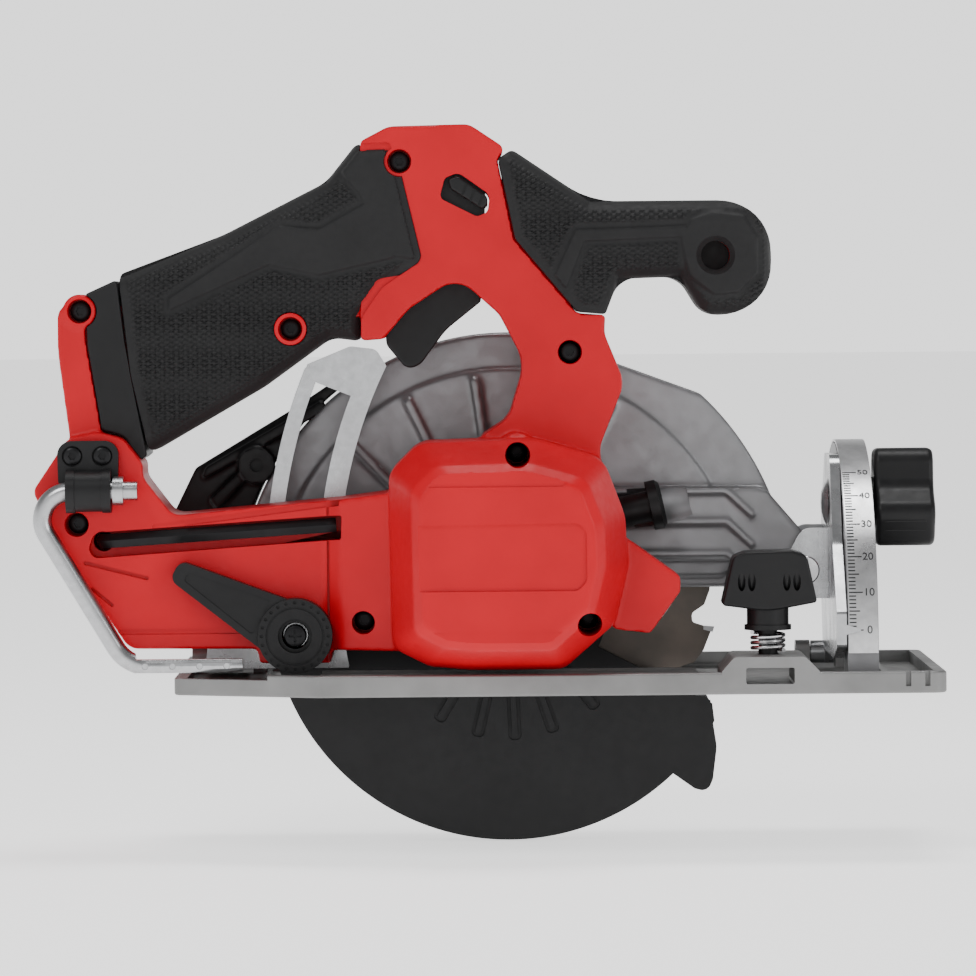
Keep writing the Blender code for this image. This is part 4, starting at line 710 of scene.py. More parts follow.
def housing():
    shell = housing_shell()
    cut(shell, *grip_recess())
    join(shell, tapered_collar())
    cut(shell, *hollows(), bay_box(-12, 64, 15, 14, 5), trigger_pocket(), *lock_off_slots())
    cut(shell, drum(POMMEL, 4.9, -30, 30), drum(TRIGGER_PIVOT, 1.9, -14.6, 14.6, segments=24))
    cut(shell, *[well(*size) for size in WELLS.values()])
    key = [(-133.2, 46.2, 2.5), (-131.5, 43.2, 2.5), (-52.9, 48.6, 0.8), (-52.6, 56.4, 0.8),
           (-131.3, 51.4, 3)]
    cut(shell, slab(key, -34, -20), drum((-128.6, 48.5), 3.3, -32, -9, segments=32))
    cut(shell, drum(LOCK_BOLT, 4.4, -30, 9), rod((48.4, -29.0, 26.9), (56.4, -29.0, 21.3), 4.1))
    vent = [(29.2, 66.8, 0.5), (34.2, 45.2, 0.5), (39.5, 44.6, 0.5), (38, 58, 3), (33, 71, 1)]
    cut(shell, slab(vent, -26, -18.6), rod(lock_line(22), lock_line(60), 5.4))
    cut(shell, *[drum(centre, 1.5, -32, -16, segments=24) for centre in CLAMP_SCREWS.values()])
    cover_details(shell)
    halves = (("motor_side_shell", "motor_side_housing", -80.0, -SEAM),
              ("blade_side_shell", "blade_side_housing", SEAM, 30.0))
    for name, node, low, high in halves:
        half = keep(twin(shell), slab(WHOLE_SAW, low, high))
        thinned(half, MOST_TRIANGLES)
        finish_piece(half, name, "saw_body", [node], "red_plastic", 40)
    bpy.data.objects.remove(shell)


# ---------------------------------------------------------------- rubber grips

def inside(corners, u, v):
    """Distance of a point from an outline in millimetres, positive within it and negative outside."""
    nearest, within = 1e9, False
    for (ax, ay, _), (bx, by, _) in zip(corners, corners[1:] + corners[:1]):
        dx, dy = bx - ax, by - ay
        along = max(0.0, min(1.0, ((u - ax) * dx + (v - ay) * dy) / (dx * dx + dy * dy)))
        nearest = min(nearest, math.hypot(u - ax - along * dx, v - ay - along * dy))
        if (ay > v) != (by > v) and u < ax + (v - ay) * dx / dy:
            within = not within
    return nearest if within else -nearest


def diamond(u, v):
    """Height of a diamond knurl, 0 in the grooves and 1 on the tops."""
    first = (u * math.cos(KNURL_TILT) + v * math.sin(KNURL_TILT)) / KNURL_PITCH
    second = (u * math.cos(KNURL_TILT) - v * math.sin(KNURL_TILT)) / KNURL_PITCH
    reach = max(abs((first % 1.0) - 0.5), abs((second % 1.0) - 0.5))
    return min(1.0, (1 - reach * 2) * 1.9)


def knurled(piece, outline, flank_line, panels):
    """Rounds a grip's flanks over its edges and raises a diamond knurl between smooth panels."""
    for vert in piece.data.vertices:
        x, y, z = vert.co / MM
        if abs(y) < GRIP_HALF - FLANK_ROUND:
            continue
        depth = inside(outline, x, z)
        short = FLANK_ROUND - min(max(0.0, inside(flank_line, x, z)), FLANK_ROUND)
        crown = GRIP_HALF - 0.6 - FLANK_ROUND + math.sqrt(FLANK_ROUND * FLANK_ROUND - short * short)
        flank = min(abs(y), crown)
        if depth > PLAIN_EDGE - 1.0:
            panel = max(inside(area, x, z) for area in panels)
            if panel > 0:
                flank += PANEL_RISE * min(1.0, panel / 0.6)
            elif panel < -1.0:
                flank += KNURL_RISE * diamond(x, z) * min(1.0, (depth - PLAIN_EDGE + 1.0), -panel - 1.0)
        vert.co.y = math.copysign(flank, y) * MM


def grip_halves(grip, name, cutters):
    cut(grip, *cutters)
    for side_name, low, high in (("near", -40.0, -SEAM), ("far", SEAM, 40.0)):
        half = keep(twin(grip), slab(WHOLE_SAW, low, high))
        thinned(half, MOST_TRIANGLES)
        finish_piece(half, f"{name}_skin_{side_name}", "saw_body", [f"{name}_{side_name}"],
                     "black_rubber", 60)
    bpy.data.objects.remove(grip)


def rear_grip():
    grip = moulded(slab(grown(REAR_GRIP, 0.1), -GRIP_HALF + 0.5, GRIP_HALF - 0.5), 0.42, 3)
    edge = [(-60, 174, 0), (-46.5, 158, 0), (-43, 150, 0), (-38, 138.5, 0), (-24, 136, 0), (-24, 180, 0)]
    flank = ([(-138, 126, 0)] + REAR_GRIP[1:4] + [(-20, 176, 0), (-14, 150, 0), (-18, 132, 0)]
             + REAR_GRIP[7:12] + [(-113.9, 76.2, 0), (-138, 62, 0)])
    knurled(grip, REAR_GRIP, flank, [ARROW_PANEL, edge])
    hollow = slab(grown(REAR_GRIP, -3.3), -GRIP_BORE, GRIP_BORE)
    cutters = [hollow, slab(grown(HEAD, GAP), -GRIP_HALF + 2.1, GRIP_HALF - 2.1),
               slab(BRIDGE, -GRIP_BORE, GRIP_BORE), bay_box(-12, 40, 16.0, 16.0, 3),
               drum(WELLS["rear_grip"][:2], 5.4, -40, -10), drum(WELLS["head_top"][:2], 5.0, -40, -10)]
    grip_halves(grip, "rear_grip", cutters)


def front_grip():
    grip = moulded(slab(grown(FRONT_GRIP, 0.1), -GRIP_HALF + 0.5, GRIP_HALF - 0.5), 0.42, 3)
    cap = [(55.5, 143, 0), (59, 149.5, 0), (66, 152, 0), (76, 150.5, 0), (80.5, 143, 0), (80.5, 132, 0),
           (74, 125.5, 0), (66, 125.0, 0), (58, 131, 0)]
    ridge = [(58, 147.4, 0), (22.1, 146.4, 0), (14.5, 130.0, 0), (18.9, 126.0, 0), (25.2, 142.2, 0),
             (58, 143.4, 0)]
    flank = [(-22, 176, 0), (-14, 143.5, 0), (8, 112, 0), (29, 104, 0)] + FRONT_GRIP[4:]
    knurled(grip, FRONT_GRIP, flank, [cap, ridge])
    bore = turned([(0, -30), (6.2, -30), (6.2, -18.6), (4.6, -17), (4.6, 17), (6.2, 18.6), (6.2, 30),
                   (0, 30)], POMMEL)
    cutters = [slab(grown(FRONT_GRIP, -3.3), -GRIP_BORE, GRIP_BORE),
               slab(grown(FRONT_BRIDGE, 0.3), -GRIP_BORE, GRIP_BORE),
               slab(grown(HEAD, -0.4), -30, 30), bore]
    grip_halves(grip, "front_grip", cutters)
    plug = drum(POMMEL, 4.85, -2.5, 2.5)
    finish_piece(plug, "pommel_plug", "saw_body", [], "black_plastic")


# ---------------------------------------------------------------- trim and small pieces on the body

def battery_sleeve():
    sleeve = slab(SLEEVE, -GRIP_HALF + 0.6, GRIP_HALF - 0.6)
    eased(sleeve, 1.4, 4)
    cut(sleeve, bay_box(-12, 64, 15, 14, 5), drum(WELLS["battery_ring"][:2], 5.6, -40, -10.5))
    for outline in (STRAP, REAR_GRIP, ARM):
        cut(sleeve, slab(grown(outline, GAP), -30, 30))
    finish_piece(sleeve, "bay_sleeve", "saw_body", ["battery_sleeve"], "black_plastic")


def star_recess(x, z, top, depth, radius=1.7):
    """Six-lobed driver recess."""
    lobes = []
    for k in range(6):
        lobes.append((*polar((x, z), radius, 60 * k), 0.35))
        lobes.append((*polar((x, z), radius * 0.68, 60 * k + 30), 0.3))
    return slab(lobes, top - 2, top + depth, fineness=30)


def screws():
    """Housing screws in their wells and the two clamp screws."""
    for name, (x, z, _, floor, tip) in WELLS.items():
        top = floor - 2.6
        screw = turned([(0, top), (2.4, top), (3.0, top + 0.35), (3.2, top + 0.9), (3.2, floor - GAP),
                        (1.5, floor - GAP), (1.5, tip), (0, tip)], (x, z), steps=36)
        cut(screw, star_recess(x, z, top, 1.5))
        finish_piece(screw, f"screw_{name}", "saw_body", [f"housing_screw_{name}"], "black_oxide")
    for name, (x, z) in CLAMP_SCREWS.items():
        top = ARM_FACE - 3.9
        screw = turned([(0, top), (2.1, top), (2.7, top + 0.35), (2.9, top + 0.9), (2.9, ARM_FACE - 2.2),
                        (1.2, ARM_FACE - 2.2), (1.2, -18.0), (0, -17.2)], (x, z), steps=36)
        cut(screw, star_recess(x, z, top, 1.2, 1.5))
        finish_piece(screw, "star_" + name, "saw_body", [name], "black_oxide")


def hook_clamp():
    """Bracket that holds the rafter hook by its pin."""
    y, z = HOOK_AXIS
    plate = slab([(-142.2, 66, 2), (-123.4, 66, 2), (-123.0, 80.6, 4.5), (-142.6, 80.6, 4.5)],
                 ARM_FACE - 3.6, ARM_FACE - GAP)
    join(plate, drum((y, z), 6.5, -139.4, -125.2, "YZ"), drum((y, z), 6.9, -139.4, -136.6, "YZ"),
         drum((y, z), 6.9, -128, -125.2, "YZ"))
    eased(plate, 0.6, 3)
    cut(plate, drum((y, z), 3.35, -150, -115, "YZ"))
    for centre in CLAMP_SCREWS.values():
        cut(plate, drum(centre, 3.3, -36, ARM_FACE - 1.9), drum(centre, 1.5, -36, -20, segments=24))
    finish_piece(plate, "hook_bracket", "saw_body", ["hook_clamp"], "black_plastic")


def rafter_hook():
    """Bent rod with a flattened, dimpled foot."""
    y, z = HOOK_AXIS
    path = route([(-117.0, 64.8, 0), (-154.0, 64.8, 9), (-120.8, 9.4, 12), (-84.2, 9.4, 0)])
    hook = tube([(u, y, v) for u, v in path], 3.0, 8)
    cut(hook, slab(rectangle(-118.0, 11.4, -80.0, 20.0), y - 6, y + 6),
        slab(rectangle(-118.0, 0.0, -80.0, 7.2), y - 6, y + 6))
    for k in range(4):
        x = -115.0 + 8.6 * k
        cut(hook, rod((x, y - 5.2, 9.3), (x, y - 2.4, 9.3), 1.6, 24, 0.9))
    join(hook, drum((y, z), 4.6, -124.6, -121.4, "YZ"), drum((y, z), 2.4, -121.6, -117.6, "YZ"))
    finish_piece(hook, "bent_hook", "rafter_hook", ["rafter_hook"], "zinc_plate", 30)


def hex_key():
    """Hex bar bent at its short leg."""
    y = ARM_FACE + 2.9
    path = route([(-128.6, -12.0, 0), (-128.6, y, 4.0), (-54.6, y, 0)])
    key = tube([(u, v, 48.5 + (u + 128.6) * 0.063) for u, v in path], 2.6, 1)
    finish_piece(key, "bent_hex_key", "hex_key", ["hex_key"], "black_oxide", 25)


def vent_and_lens():
    vent = slab([(29.8, 66.8, 0.5), (34.7, 45.6, 0.5), (37.0, 46.6, 0.5), (36.2, 56.6, 6),
                 (31.4, 69.2, 1)], -23.6, -19.0)
    eased(vent, 0.4, 2)
    finish_piece(vent, "vent_strip", "saw_body", ["vent_insert"], "black_plastic")
    lens = rod((48.75, -29.0, 26.65), (50.2, -29.0, 25.64), 3.7, 48, 3.0)
    finish_piece(lens, "work_light_lens", "saw_body", ["led_lens"], "lens")


# ---------------------------------------------------------------- switches

def trigger():
    pin = drum(TRIGGER_PIVOT, 1.7, -14.2, 14.2, segments=32)
    lever = moulded(heap(slab(TRIGGER, -7.3, 7.3), pin), 0.35, 8)
    finish_piece(lever, "trigger_lever", "trigger", ["trigger"], "black_plastic", 50)


def lock_off_button():
    """Slider right through the handle, grooved for the thumb on both ends."""
    corners = [(-17.2, 159.4, 1), (-7.3, 152.9, 1), (-5.6, 154.6, 1), (-5.6, 156.9, 2), (-14.9, 163.8, 2.5),
               (-18.2, 162.6, 1)]
    button = slab(corners, -18.3, 18.3)
    eased(button, 0.9, 4)
    for side in (-1, 1):
        for k in range(3):
            cx, cz = -9.0 - 2.6 * k, 155.6 + 1.75 * k
            groove = slab([(cx - 0.4, cz - 3.2, 0.3), (cx + 0.4, cz - 2.8, 0.3), (cx + 2.4, cz + 1.8, 0.3),
                           (cx + 1.6, cz + 2.2, 0.3)], *sorted((side * 17.9, side * 20)), fineness=30)
            cut(button, groove)
    # painted shade: two black plates on the slider, inside the handle, fill the see-through slot around it
    # with dark
    shade_plate = [(-24, 158, 1), (-14, 148.5, 1), (-6.6, 148.5, 1), (-6.3, 158, 1), (-12, 167, 1),
              (-22, 166.5, 1)]
    join(button, slab(shade_plate, -14.0, -11.0), slab(shade_plate, 11.0, 14.0))
    finish_piece(button, "lock_off_slider", "lock_off_button", ["lock_off_button"], "black_plastic")


def spindle_lock_button():
    """Plunger with a round head, aimed at the motor shaft."""
    stem = rod(lock_line(27), lock_line(49.5), 5.0)
    join(stem, rod(lock_line(49.0), lock_line(52.2), 8.0),
         rod(lock_line(52.1), lock_line(53.4), 8.0, 40, 6.8),
         rod(lock_line(11.5), lock_line(28), 2.0))
    eased(stem, 0.4, 3)
    finish_piece(stem, "lock_plunger", "spindle_lock_button", ["spindle_lock_button"], "black_plastic")


def depth_lock():
    """Lever with a splined boss and a cross-slotted screw."""
    x, z = LOCK_BOLT
    tip, reach = Vector((-105.4, 39.6)), Vector((-105.4 - x, 39.6 - z)).normalized()
    across = Vector((-reach.y, reach.x))
    root = Vector((x, z)) + reach * 6
    corners = [(*(root - across * 9.2), 2), (*(tip - across * 3.4), 3), (*(tip + across * 3.4), 3),
               (*(root + across * 9.2), 2)]
    lever = drum(LOCK_BOLT, 11.8, ARM_FACE - 8.6, ARM_FACE - GAP, segments=72)
    join(lever, slab(corners, ARM_FACE - 7.6, ARM_FACE - 0.8))
    eased(lever, 1.0, 4)
    for k in range(24):
        notch = drum(polar(LOCK_BOLT, 10.6, 15 * k), 0.55, ARM_FACE - 10, ARM_FACE - 7.9, segments=12)
        cut(lever, notch)
    ring = turned([(8.6, ARM_FACE - 9), (9.3, ARM_FACE - 9), (9.3, ARM_FACE - 8.0), (8.6, ARM_FACE - 8.0)],
                  LOCK_BOLT)
    cut(lever, ring, drum(LOCK_BOLT, 5.4, ARM_FACE - 12, ARM_FACE - 5.2),
        drum(LOCK_BOLT, 4.3, ARM_FACE - 8, ARM_FACE + 2))
    sink = [(*(root - across * 6.2 + reach * 6), 1), (*(tip - across * 1.5 - reach * 4), 1),
            (*(tip + across * 1.5 - reach * 4), 1), (*(root + across * 6.2 + reach * 6), 1)]
    cut(lever, slab(sink, ARM_FACE - 10, ARM_FACE - 7.1))
    finish_piece(lever, "clamp_lever", "depth_lock", ["depth_lock_lever"], "black_plastic")
    top = ARM_FACE - 7.6
    screw = turned([(0, top), (2.4, top), (3.2, top + 0.3), (3.6, top + 0.9), (3.6, ARM_FACE - 5.0),
                    (1.6, ARM_FACE - 5.0), (1.6, ARM_FACE - 1.6), (0, ARM_FACE - 1.6)], LOCK_BOLT, steps=40)
    for corners in (rectangle(x - 2, z - 0.4, x + 2, z + 0.4), rectangle(x - 0.4, z - 2, x + 0.4, z + 2)):
        cut(screw, slab(corners, top - 2, top + 1.1))
    finish_piece(screw, "clamp_lever_screw", "depth_lock", ["depth_lock_screw"], "black_oxide")


# ---------------------------------------------------------------- guards and blade

def upper_guard():
    """Cast upper guard with a stepped crown, radial ribs and the arm to the depth pivot."""
    shell = ([(-86.4, 30, 1), (-64, 30, 1), (82, 30, 1), (88, 37, 3)]
             + arc(ARBOR, GUARD_RIM + 4.5, 19, 47, 14) + arc(ARBOR, GUARD_RIM, 84, 176, 40))
    crown = [(-72, 34, 2), (70, 34, 2), (76, 40, 3)] + arc(ARBOR, 76.0, 20, 172, 50)
    near_arm = [(31.8, 39.5, 1), (84, 39.5, 3), (86, 62.4, 4), (31.8, 63, 1)]
    lug = [(80, 36, 3), (90.5, 28.9, 5), (101, 28.9, 6.5), (103.2, 40, 6.5), (84, 62.4, 3), (80, 62.4, 1)]
    solids = [slab(shell, 22.6, 49.6), slab(crown, 21.4, 30.0), slab(near_arm, 12.4, 24.3),
              slab(grown(lug, -0.4), 12.3, 39.6)]
    for angle in (62, 80, 98, 116, 134):
        solids.append(slab(spoke(50, 74, angle, 1.4, 1.0, 0.8, 0.8), 19.6, 24))
    for z in (61.7, 51.9, 41.5):
        solids.append(tube([(34, 12.2, z), (71, 12.2, z), (79.5, 12.4, z - 8)], 1.3, 4))
    guard = moulded(heap(*solids), 0.8, 4)
    inner = ([(-83.6, 20, 0), (81.5, 20, 0)] + arc(ARBOR, GUARD_RIM + 1.8, 8, 47, 14)
             + arc(ARBOR, GUARD_RIM - 2.8, 84, 176, 40))
    cut(guard, slab(inner, 24.6, 47.4), drum(ARBOR, 15.5, 10, 30), drum(ARBOR, 18.0, 46, 60),
        drum(DEPTH_PIVOT, 3.35, 5, 60), rod(lock_line(43), lock_line(62), 8.7),
        slab(grown(GEAR_CASE, GAP), 4.0, 21.9))
    thinned(guard, MOST_TRIANGLES)
    finish_piece(guard, "cast_guard", "saw_body", ["upper_guard"], "grey_casting", 45)


def dust_chute():
    """Hollow black spout behind the upper guard, with two ribs and a screw boss."""
    boss = (-81.5, 71)
    outer = ([(-43, 106.2, 0), (-57, 97.6, 10), (-70, 89, 10), (-101.5, 70.2, 2), (-110.5, 52, 1),
              (-86.6, 47, 1)] + arc(ARBOR, 88.8, 166, 119, 20))
    upper_rib = slab([(-100, 66, 1), (-98, 70.5, 1), (-60, 92, 1), (-58, 89, 1)], 22.6, 27)
    lower_rib = slab([(-97, 60, 1), (-80, 76, 1), (-77.5, 74, 1), (-94.5, 56.5, 1)], 22.4, 27)
    chute = moulded(heap(slab(outer, 24.4, 48.6), upper_rib, drum(boss, 6.0, 21.0, 27), lower_rib), 0.6, 4)
    inner = [(-72, 86, 3), (-99.5, 67.6, 2), (-112, 44, 1), (-92.5, 40, 1), (-87.8, 62, 4), (-79, 79, 6)]
    cut(chute, slab(inner, 26.5, 46.5), drum(ARBOR, 87.6, 10, 60, segments=160),
        drum(boss, 2.2, 10, 24))
    finish_piece(chute, "sawdust_chute", "saw_body", ["dust_chute"], "black_plastic", 45)


def lower_guard():
    """Retracting guard: near wall, rim and narrow far wall, with ribs, a hub and a finger lip."""
    start, end = -27.0, -193.0
    bm = bmesh.new()
    section = [(19, 28.2), (78, 28.2), (78, 43.8), (50, 43.8), (50, 42.0), (76.2, 42.0), (76.2, 30.0),
               (19, 30.0)]
    ring = [bm.verts.new(PLANES["XZ"](*polar(ARBOR, r, start), y)) for r, y in section]
    bmesh.ops.spin(bm, geom=[bm.faces.new(ring)], cent=PLANES["XZ"](*ARBOR, 0), axis=(0, 1, 0),
                   angle=math.radians(start - end), steps=84, use_merge=False, use_duplicate=False)
    guard = solid(bm)
    lip = slab([(58.6, -5.5, 1), (50.5, -24, 2), (52.5, -30.5, 1), (60.5, -36.2, 1), (64.8, -37.4, 3),
                (66.6, -33, 2), (67.9, -22.5, 8), (65.4, -6.0, 2)], 28.2, 43.8)
    cut(lip, drum(ARBOR, 75.6, 30.3, 41.7, segments=120))
    hub = turned([(15.5, 26.6), (20.5, 26.6), (20.5, 28.2), (33, 28.2), (33, 30.0), (15.5, 30.0)], ARBOR,
                 steps=72)
    join(guard, lip, hub)
    eased(guard, 0.5, 3)
    for angle in (-50.5, -71.0, -87.5, -103.5, -121.0):
        cut(guard, slab(spoke(28, 45.4, angle, 4.2, 2.8, 0.6, 1.8), 26.0, 29.1))
        join(guard, slab(spoke(27.6, 44.2, angle, 1.7, 1.2, 0.3, 0.8), 27.7, 29.4))
    cut(guard, slab([(65.5, 0, 0), (67.9, -20, 0), (90, -20, 0), (90, 0, 0)], 20, 50))
    finish_piece(guard, "swing_guard", "lower_guard", ["lower_guard"], "black_plastic", 40)


def saw_blade():
    """Toothed plate with carbide tips, gullets and expansion slots."""
    pitch = 360.0 / TEETH
    corners = []
    for k in range(TEETH):
        base = k * pitch + 10.0
        for reach, share, fillet in ((60.9, 0.0, 1.2), (60.4, 0.16, 1.6), (64.4, 0.32, 1.2),
                                     (66.2, 0.56, 1.5), (BLADE_RADIUS - 0.7, 0.94, 0),
                                     (BLADE_RADIUS - 3.4, 0.96, 0)):
            corners.append((*polar(ARBOR, reach, base + share * pitch), fillet))
    plate = slab(corners, BLADE_LEVEL - 0.55, BLADE_LEVEL + 0.55, fineness=18)
    cut(plate, drum(ARBOR, 10.0, 30, 40))
    for k in range(4):
        angle = 90 * k + 31
        slot = slab([(*polar(ARBOR, 50, angle), 0.2), (*polar(ARBOR, 66, angle + 1.5), 0.2),
                     (*polar(ARBOR, 66, angle + 2.2), 0.2), (*polar(ARBOR, 50, angle + 0.8), 0.2)], 30, 40)
        cut(plate, slot, drum(polar(ARBOR, 49.5, angle + 0.4), 1.3, 30, 40, segments=20))
    finish_piece(plate, "toothed_blade", "blade", ["saw_blade"], "dark_steel", 30)
    tips = bmesh.new()
    for k in range(TEETH):
        edge = (k + 0.955) * pitch + 10.0
        corners = [(*polar(ARBOR, BLADE_RADIUS - drop, edge + turn), 0)
                   for drop, turn in ((0, 0.25), (0.3, -1.3), (3.4, -1.0), (3.6, 0.1))]
        tip = slab(corners, BLADE_LEVEL - 0.8, BLADE_LEVEL + 0.8)
        tips.from_mesh(tip.data)
        bpy.data.objects.remove(tip)
    finish_piece(solid(tips), "carbide_tips", "blade", [], "bright_steel", 30, "carbide")


def blade_fittings():
    """Flanges on both sides of the blade and the bolt that clamps them."""
    inner = turned([(5.2, 31.3), (14.6, 31.3), (15, 31.7), (15, 35.1), (9.7, 35.1), (9.7, 36.6),
                    (5.2, 36.6)], ARBOR, steps=72)
    finish_piece(inner, "rear_flange", "blade", ["inner_flange"], "dark_steel")
    outer = turned([(3.4, 36.9), (15, 36.9), (15, 38.4), (14.4, 39.0), (12.5, 39.8), (3.4, 39.8)], ARBOR,
                   steps=72)
    for side in (-1, 1):
        low, high = sorted((ARBOR[1] + side * 12.6, ARBOR[1] + side * 20.0))
        cut(outer, slab(rectangle(-20, low, 20, high), 38.6, 44))
    finish_piece(outer, "front_flange", "blade", ["outer_flange"], "dark_steel")
    bolt = turned([(0, 24.0), (2.9, 24.0), (2.9, 40.1), (6.6, 40.1), (6.6, 44.8), (6.3, 45.5),
                   (5.6, 45.9), (0, 45.9)], ARBOR, steps=60)
    hexagon = [(*polar(ARBOR, 2.9, 60 * k), 0) for k in range(6)]
    cut(bolt, slab(hexagon, 42.4, 50))
    finish_piece(bolt, "blade_bolt", "blade", ["arbor_bolt"], "black_oxide")


# ---------------------------------------------------------------- depth and bevel frame

def depth_quadrant():
    """Slotted plate, curved about the depth pivot, with the rear bevel pivot."""
    inner, outer, top = 150.5, 174.0, 153.5
    corners = ([(-42.0, 108.6, 3), (-50.4, 109.6, 3)] + arc(DEPTH_PIVOT, outer, top + 3.5, 187.0, 40)
               + [(-97, 15.5, 3), (-98, 5.8, 0.5), (-51.5, 5.8, 0.5)]
               + arc(DEPTH_PIVOT, inner, 190.0, top, 40))
    plate = slab(corners, 6.0, 8.5)
    join(plate, slab(hoop(DEPTH_PIVOT, outer + 0.3, outer - 2.1, top + 4, 186.8, 40), 6.6, 14.0))
    cut(plate, slab(hoop(DEPTH_PIVOT, 169.4, 157.2, 158.5, 188.3, 40), 0, 12))
    join(plate, slab(rectangle(6.2, 5.8, 33.0, 8.3), -98, -84, "YZ"), drum(BEVEL_PIVOT, 3.7, -98, -84, "YZ"),
         drum(BEVEL_PIVOT, 1.75, -103.2, -79.3, "YZ", 32))
    eased(plate, 0.35, 2)
    finish_piece(plate, "slotted_quadrant", "tilt_frame", ["depth_quadrant"], "zinc_plate")


def bevel_bracket():
    """Front plate with two ears, its depth pin and the bolt of the bevel knob."""
    plate_corners = [(-37, 13.5, 1.5), (-18, 9, 4), (26, 9, 3), (30.6, 4.4, 3.3), (37.4, 4.4, 3.3),
                     (44.5, 22, 5), (44.5, 52, 6), (24, 73.5, 6), (-4, 73.5, 6), (-17, 46, 10),
                     (-37, 24.5, 1.5)]
    bracket = slab(plate_corners, 103.4, 106.5, "YZ")
    ear = [(88.0, 36, 8), (92, 26.8, 5), (105, 26.8, 0), (105, 49.5, 0), (95, 49.5, 5)]
    pointer = [(104, 17.0, 0.5), (111, 18.6, 0.5), (111, 19.4, 0.5), (104, 21.4, 0.5)]
    join(bracket, slab(ear, 8.2, 11.6), slab(ear, 40.4, 43.8), slab(pointer, -37, -36),
         drum(BEVEL_PIVOT, 3.7, 99.0, 106.5, "YZ"), drum(BEVEL_PIVOT, 1.75, 94.3, 111.7, "YZ", 32))
    cut(bracket, drum(BEVEL_BOLT, 3.35, 98, 110, "YZ"), drum(DEPTH_PIVOT, 3.35, 0, 60))
    eased(bracket, 0.35, 2)
    finish_piece(bracket, "pressed_bracket", "tilt_frame", ["bevel_bracket"], "zinc_plate")
    pin = turned([(0, 5.6), (4.2, 5.6), (4.6, 6.1), (4.6, 7.9), (3.0, 7.9), (3.0, 45.4), (0, 45.4)],
                 DEPTH_PIVOT)
    finish_piece(pin, "pivot_rivet", "tilt_frame", ["depth_pivot_pin"], "bright_steel")
    bolt = turned([(0, 101.0), (3.6, 101.3), (6.2, 102.2), (7.6, 103.1), (3.0, 103.1), (3.0, 124.0),
                   (0, 124.0)], BEVEL_BOLT, "YZ")
    finish_piece(bolt, "domed_bolt", "tilt_frame", ["bevel_carriage_bolt"], "bright_steel")


def bevel_knob():
    """Three-lobed knob with facets cut in its lobes."""
    lobes = []
    for k in range(3):
        lobes.append((*polar(BEVEL_BOLT, 18.9, 66 + 120 * k), 5.0))
        lobes.append((*polar(BEVEL_BOLT, 18.9, 114 + 120 * k), 5.0))
        lobes.append((*polar(BEVEL_BOLT, 10.5, 150 + 120 * k), 6.0))
    knob = slab(lobes, 117.9, 137.0, "YZ")
    eased(knob, 1.8, 4)
    for k in range(3):
        for offset in (-3.4, 0.0, 3.4):
            y, z = polar(BEVEL_BOLT, 17.9, 90 + 120 * k)
            side = Vector(polar((0, 0), offset, 180 + 120 * k))
            cut(knob, rod((121, y + side.x, z + side.y), (134, y + side.x, z + side.y), 0.75, 16))
    join(knob, drum(BEVEL_BOLT, 8.0, 110.6, 118.5, "YZ"))
    cut(knob, drum(BEVEL_BOLT, 3.3, 105, 124.6, "YZ"))
    finish_piece(knob, "bevel_hand_knob", "bevel_knob", ["bevel_knob"], "black_plastic")


def bevel_quadrant():
    """Curved web and rim that the bevel angle is set and read on."""
    web = (arc(BEVEL_PIVOT, 67.0, 60.5, 175.0, 50) + [(-34.0, 3.4, 0), (-16.0, 3.4, 0)]
           + arc(BEVEL_PIVOT, 49.0, 172.0, 60.5, 50))
    quadrant = slab(web, 107.0, 110.2, "YZ")
    join(quadrant, slab(hoop(BEVEL_PIVOT, 68.6, 65.8, 60.5, 183.6, 60), 107.0, 116.8, "YZ"))
    cut(quadrant, slab(hoop(BEVEL_PIVOT, 60.4, 53.6, 64.0, 123.5, 30), 100, 120, "YZ"))
    gusset = [(109, 3.4, 0), (117.4, 3.4, 0), (117.4, 6.0, 1), (112.0, 26, 4), (109, 33, 0)]
    join(quadrant, slab(gusset, -28.0, -24.0))
    eased(quadrant, 0.45, 2)
    finish_piece(quadrant, "cast_quadrant", "shoe", ["bevel_quadrant"], "grey_casting")


def scale_text(words, size, angle):
    """Upright numerals standing on the scale strip at an angle round the bevel pivot."""
    curve = bpy.data.curves.new("numeral", "FONT")
    curve.body = words
    curve.size = size * MM
    curve.extrude = 0.05 * MM
    curve.align_x, curve.align_y = "CENTER", "CENTER"
    mesh = mesh_of("numeral", curve)
    outward = Vector((0, math.cos(math.radians(angle)), math.sin(math.radians(angle))))
    right = Vector((1, 0, 0))
    up = outward.cross(right)
    y, z = polar(BEVEL_PIVOT, 69.66, angle)
    axes = Matrix((right, up, outward)).transposed().to_4x4()
    mesh.transform(Matrix.Translation(Vector((114.0, y, z)) * MM) @ axes)
    return mesh


def bevel_scale():
    """Strip with a mark for each degree and numerals for each ten."""
    strip = slab(hoop(BEVEL_PIVOT, 69.6, 68.9, 78.0, 177.0, 60), 107.2, 116.6, "YZ")
    finish_piece(strip, "degree_strip", "shoe", ["bevel_scale"], "scale_face")
    marks = bmesh.new()
    for degree in range(51):
        angle = SCALE_ZERO - degree
        length = 4.4 if degree % 10 == 0 else 3.4 if degree % 5 == 0 else 2.2
        mark = slab(hoop(BEVEL_PIVOT, 69.68, 69.5, angle - 0.16, angle + 0.16, 1), 107.6, 107.6 + length,
                    "YZ")
        marks.from_mesh(mark.data)
        bpy.data.objects.remove(mark)
    for degree in range(0, 51, 10):
        marks.from_mesh(scale_text(str(degree), 3.6, SCALE_ZERO - degree))
    finish_piece(solid(marks), "degree_marks", "shoe", [], "black_plastic", finish="ink")


# ---------------------------------------------------------------- shoe

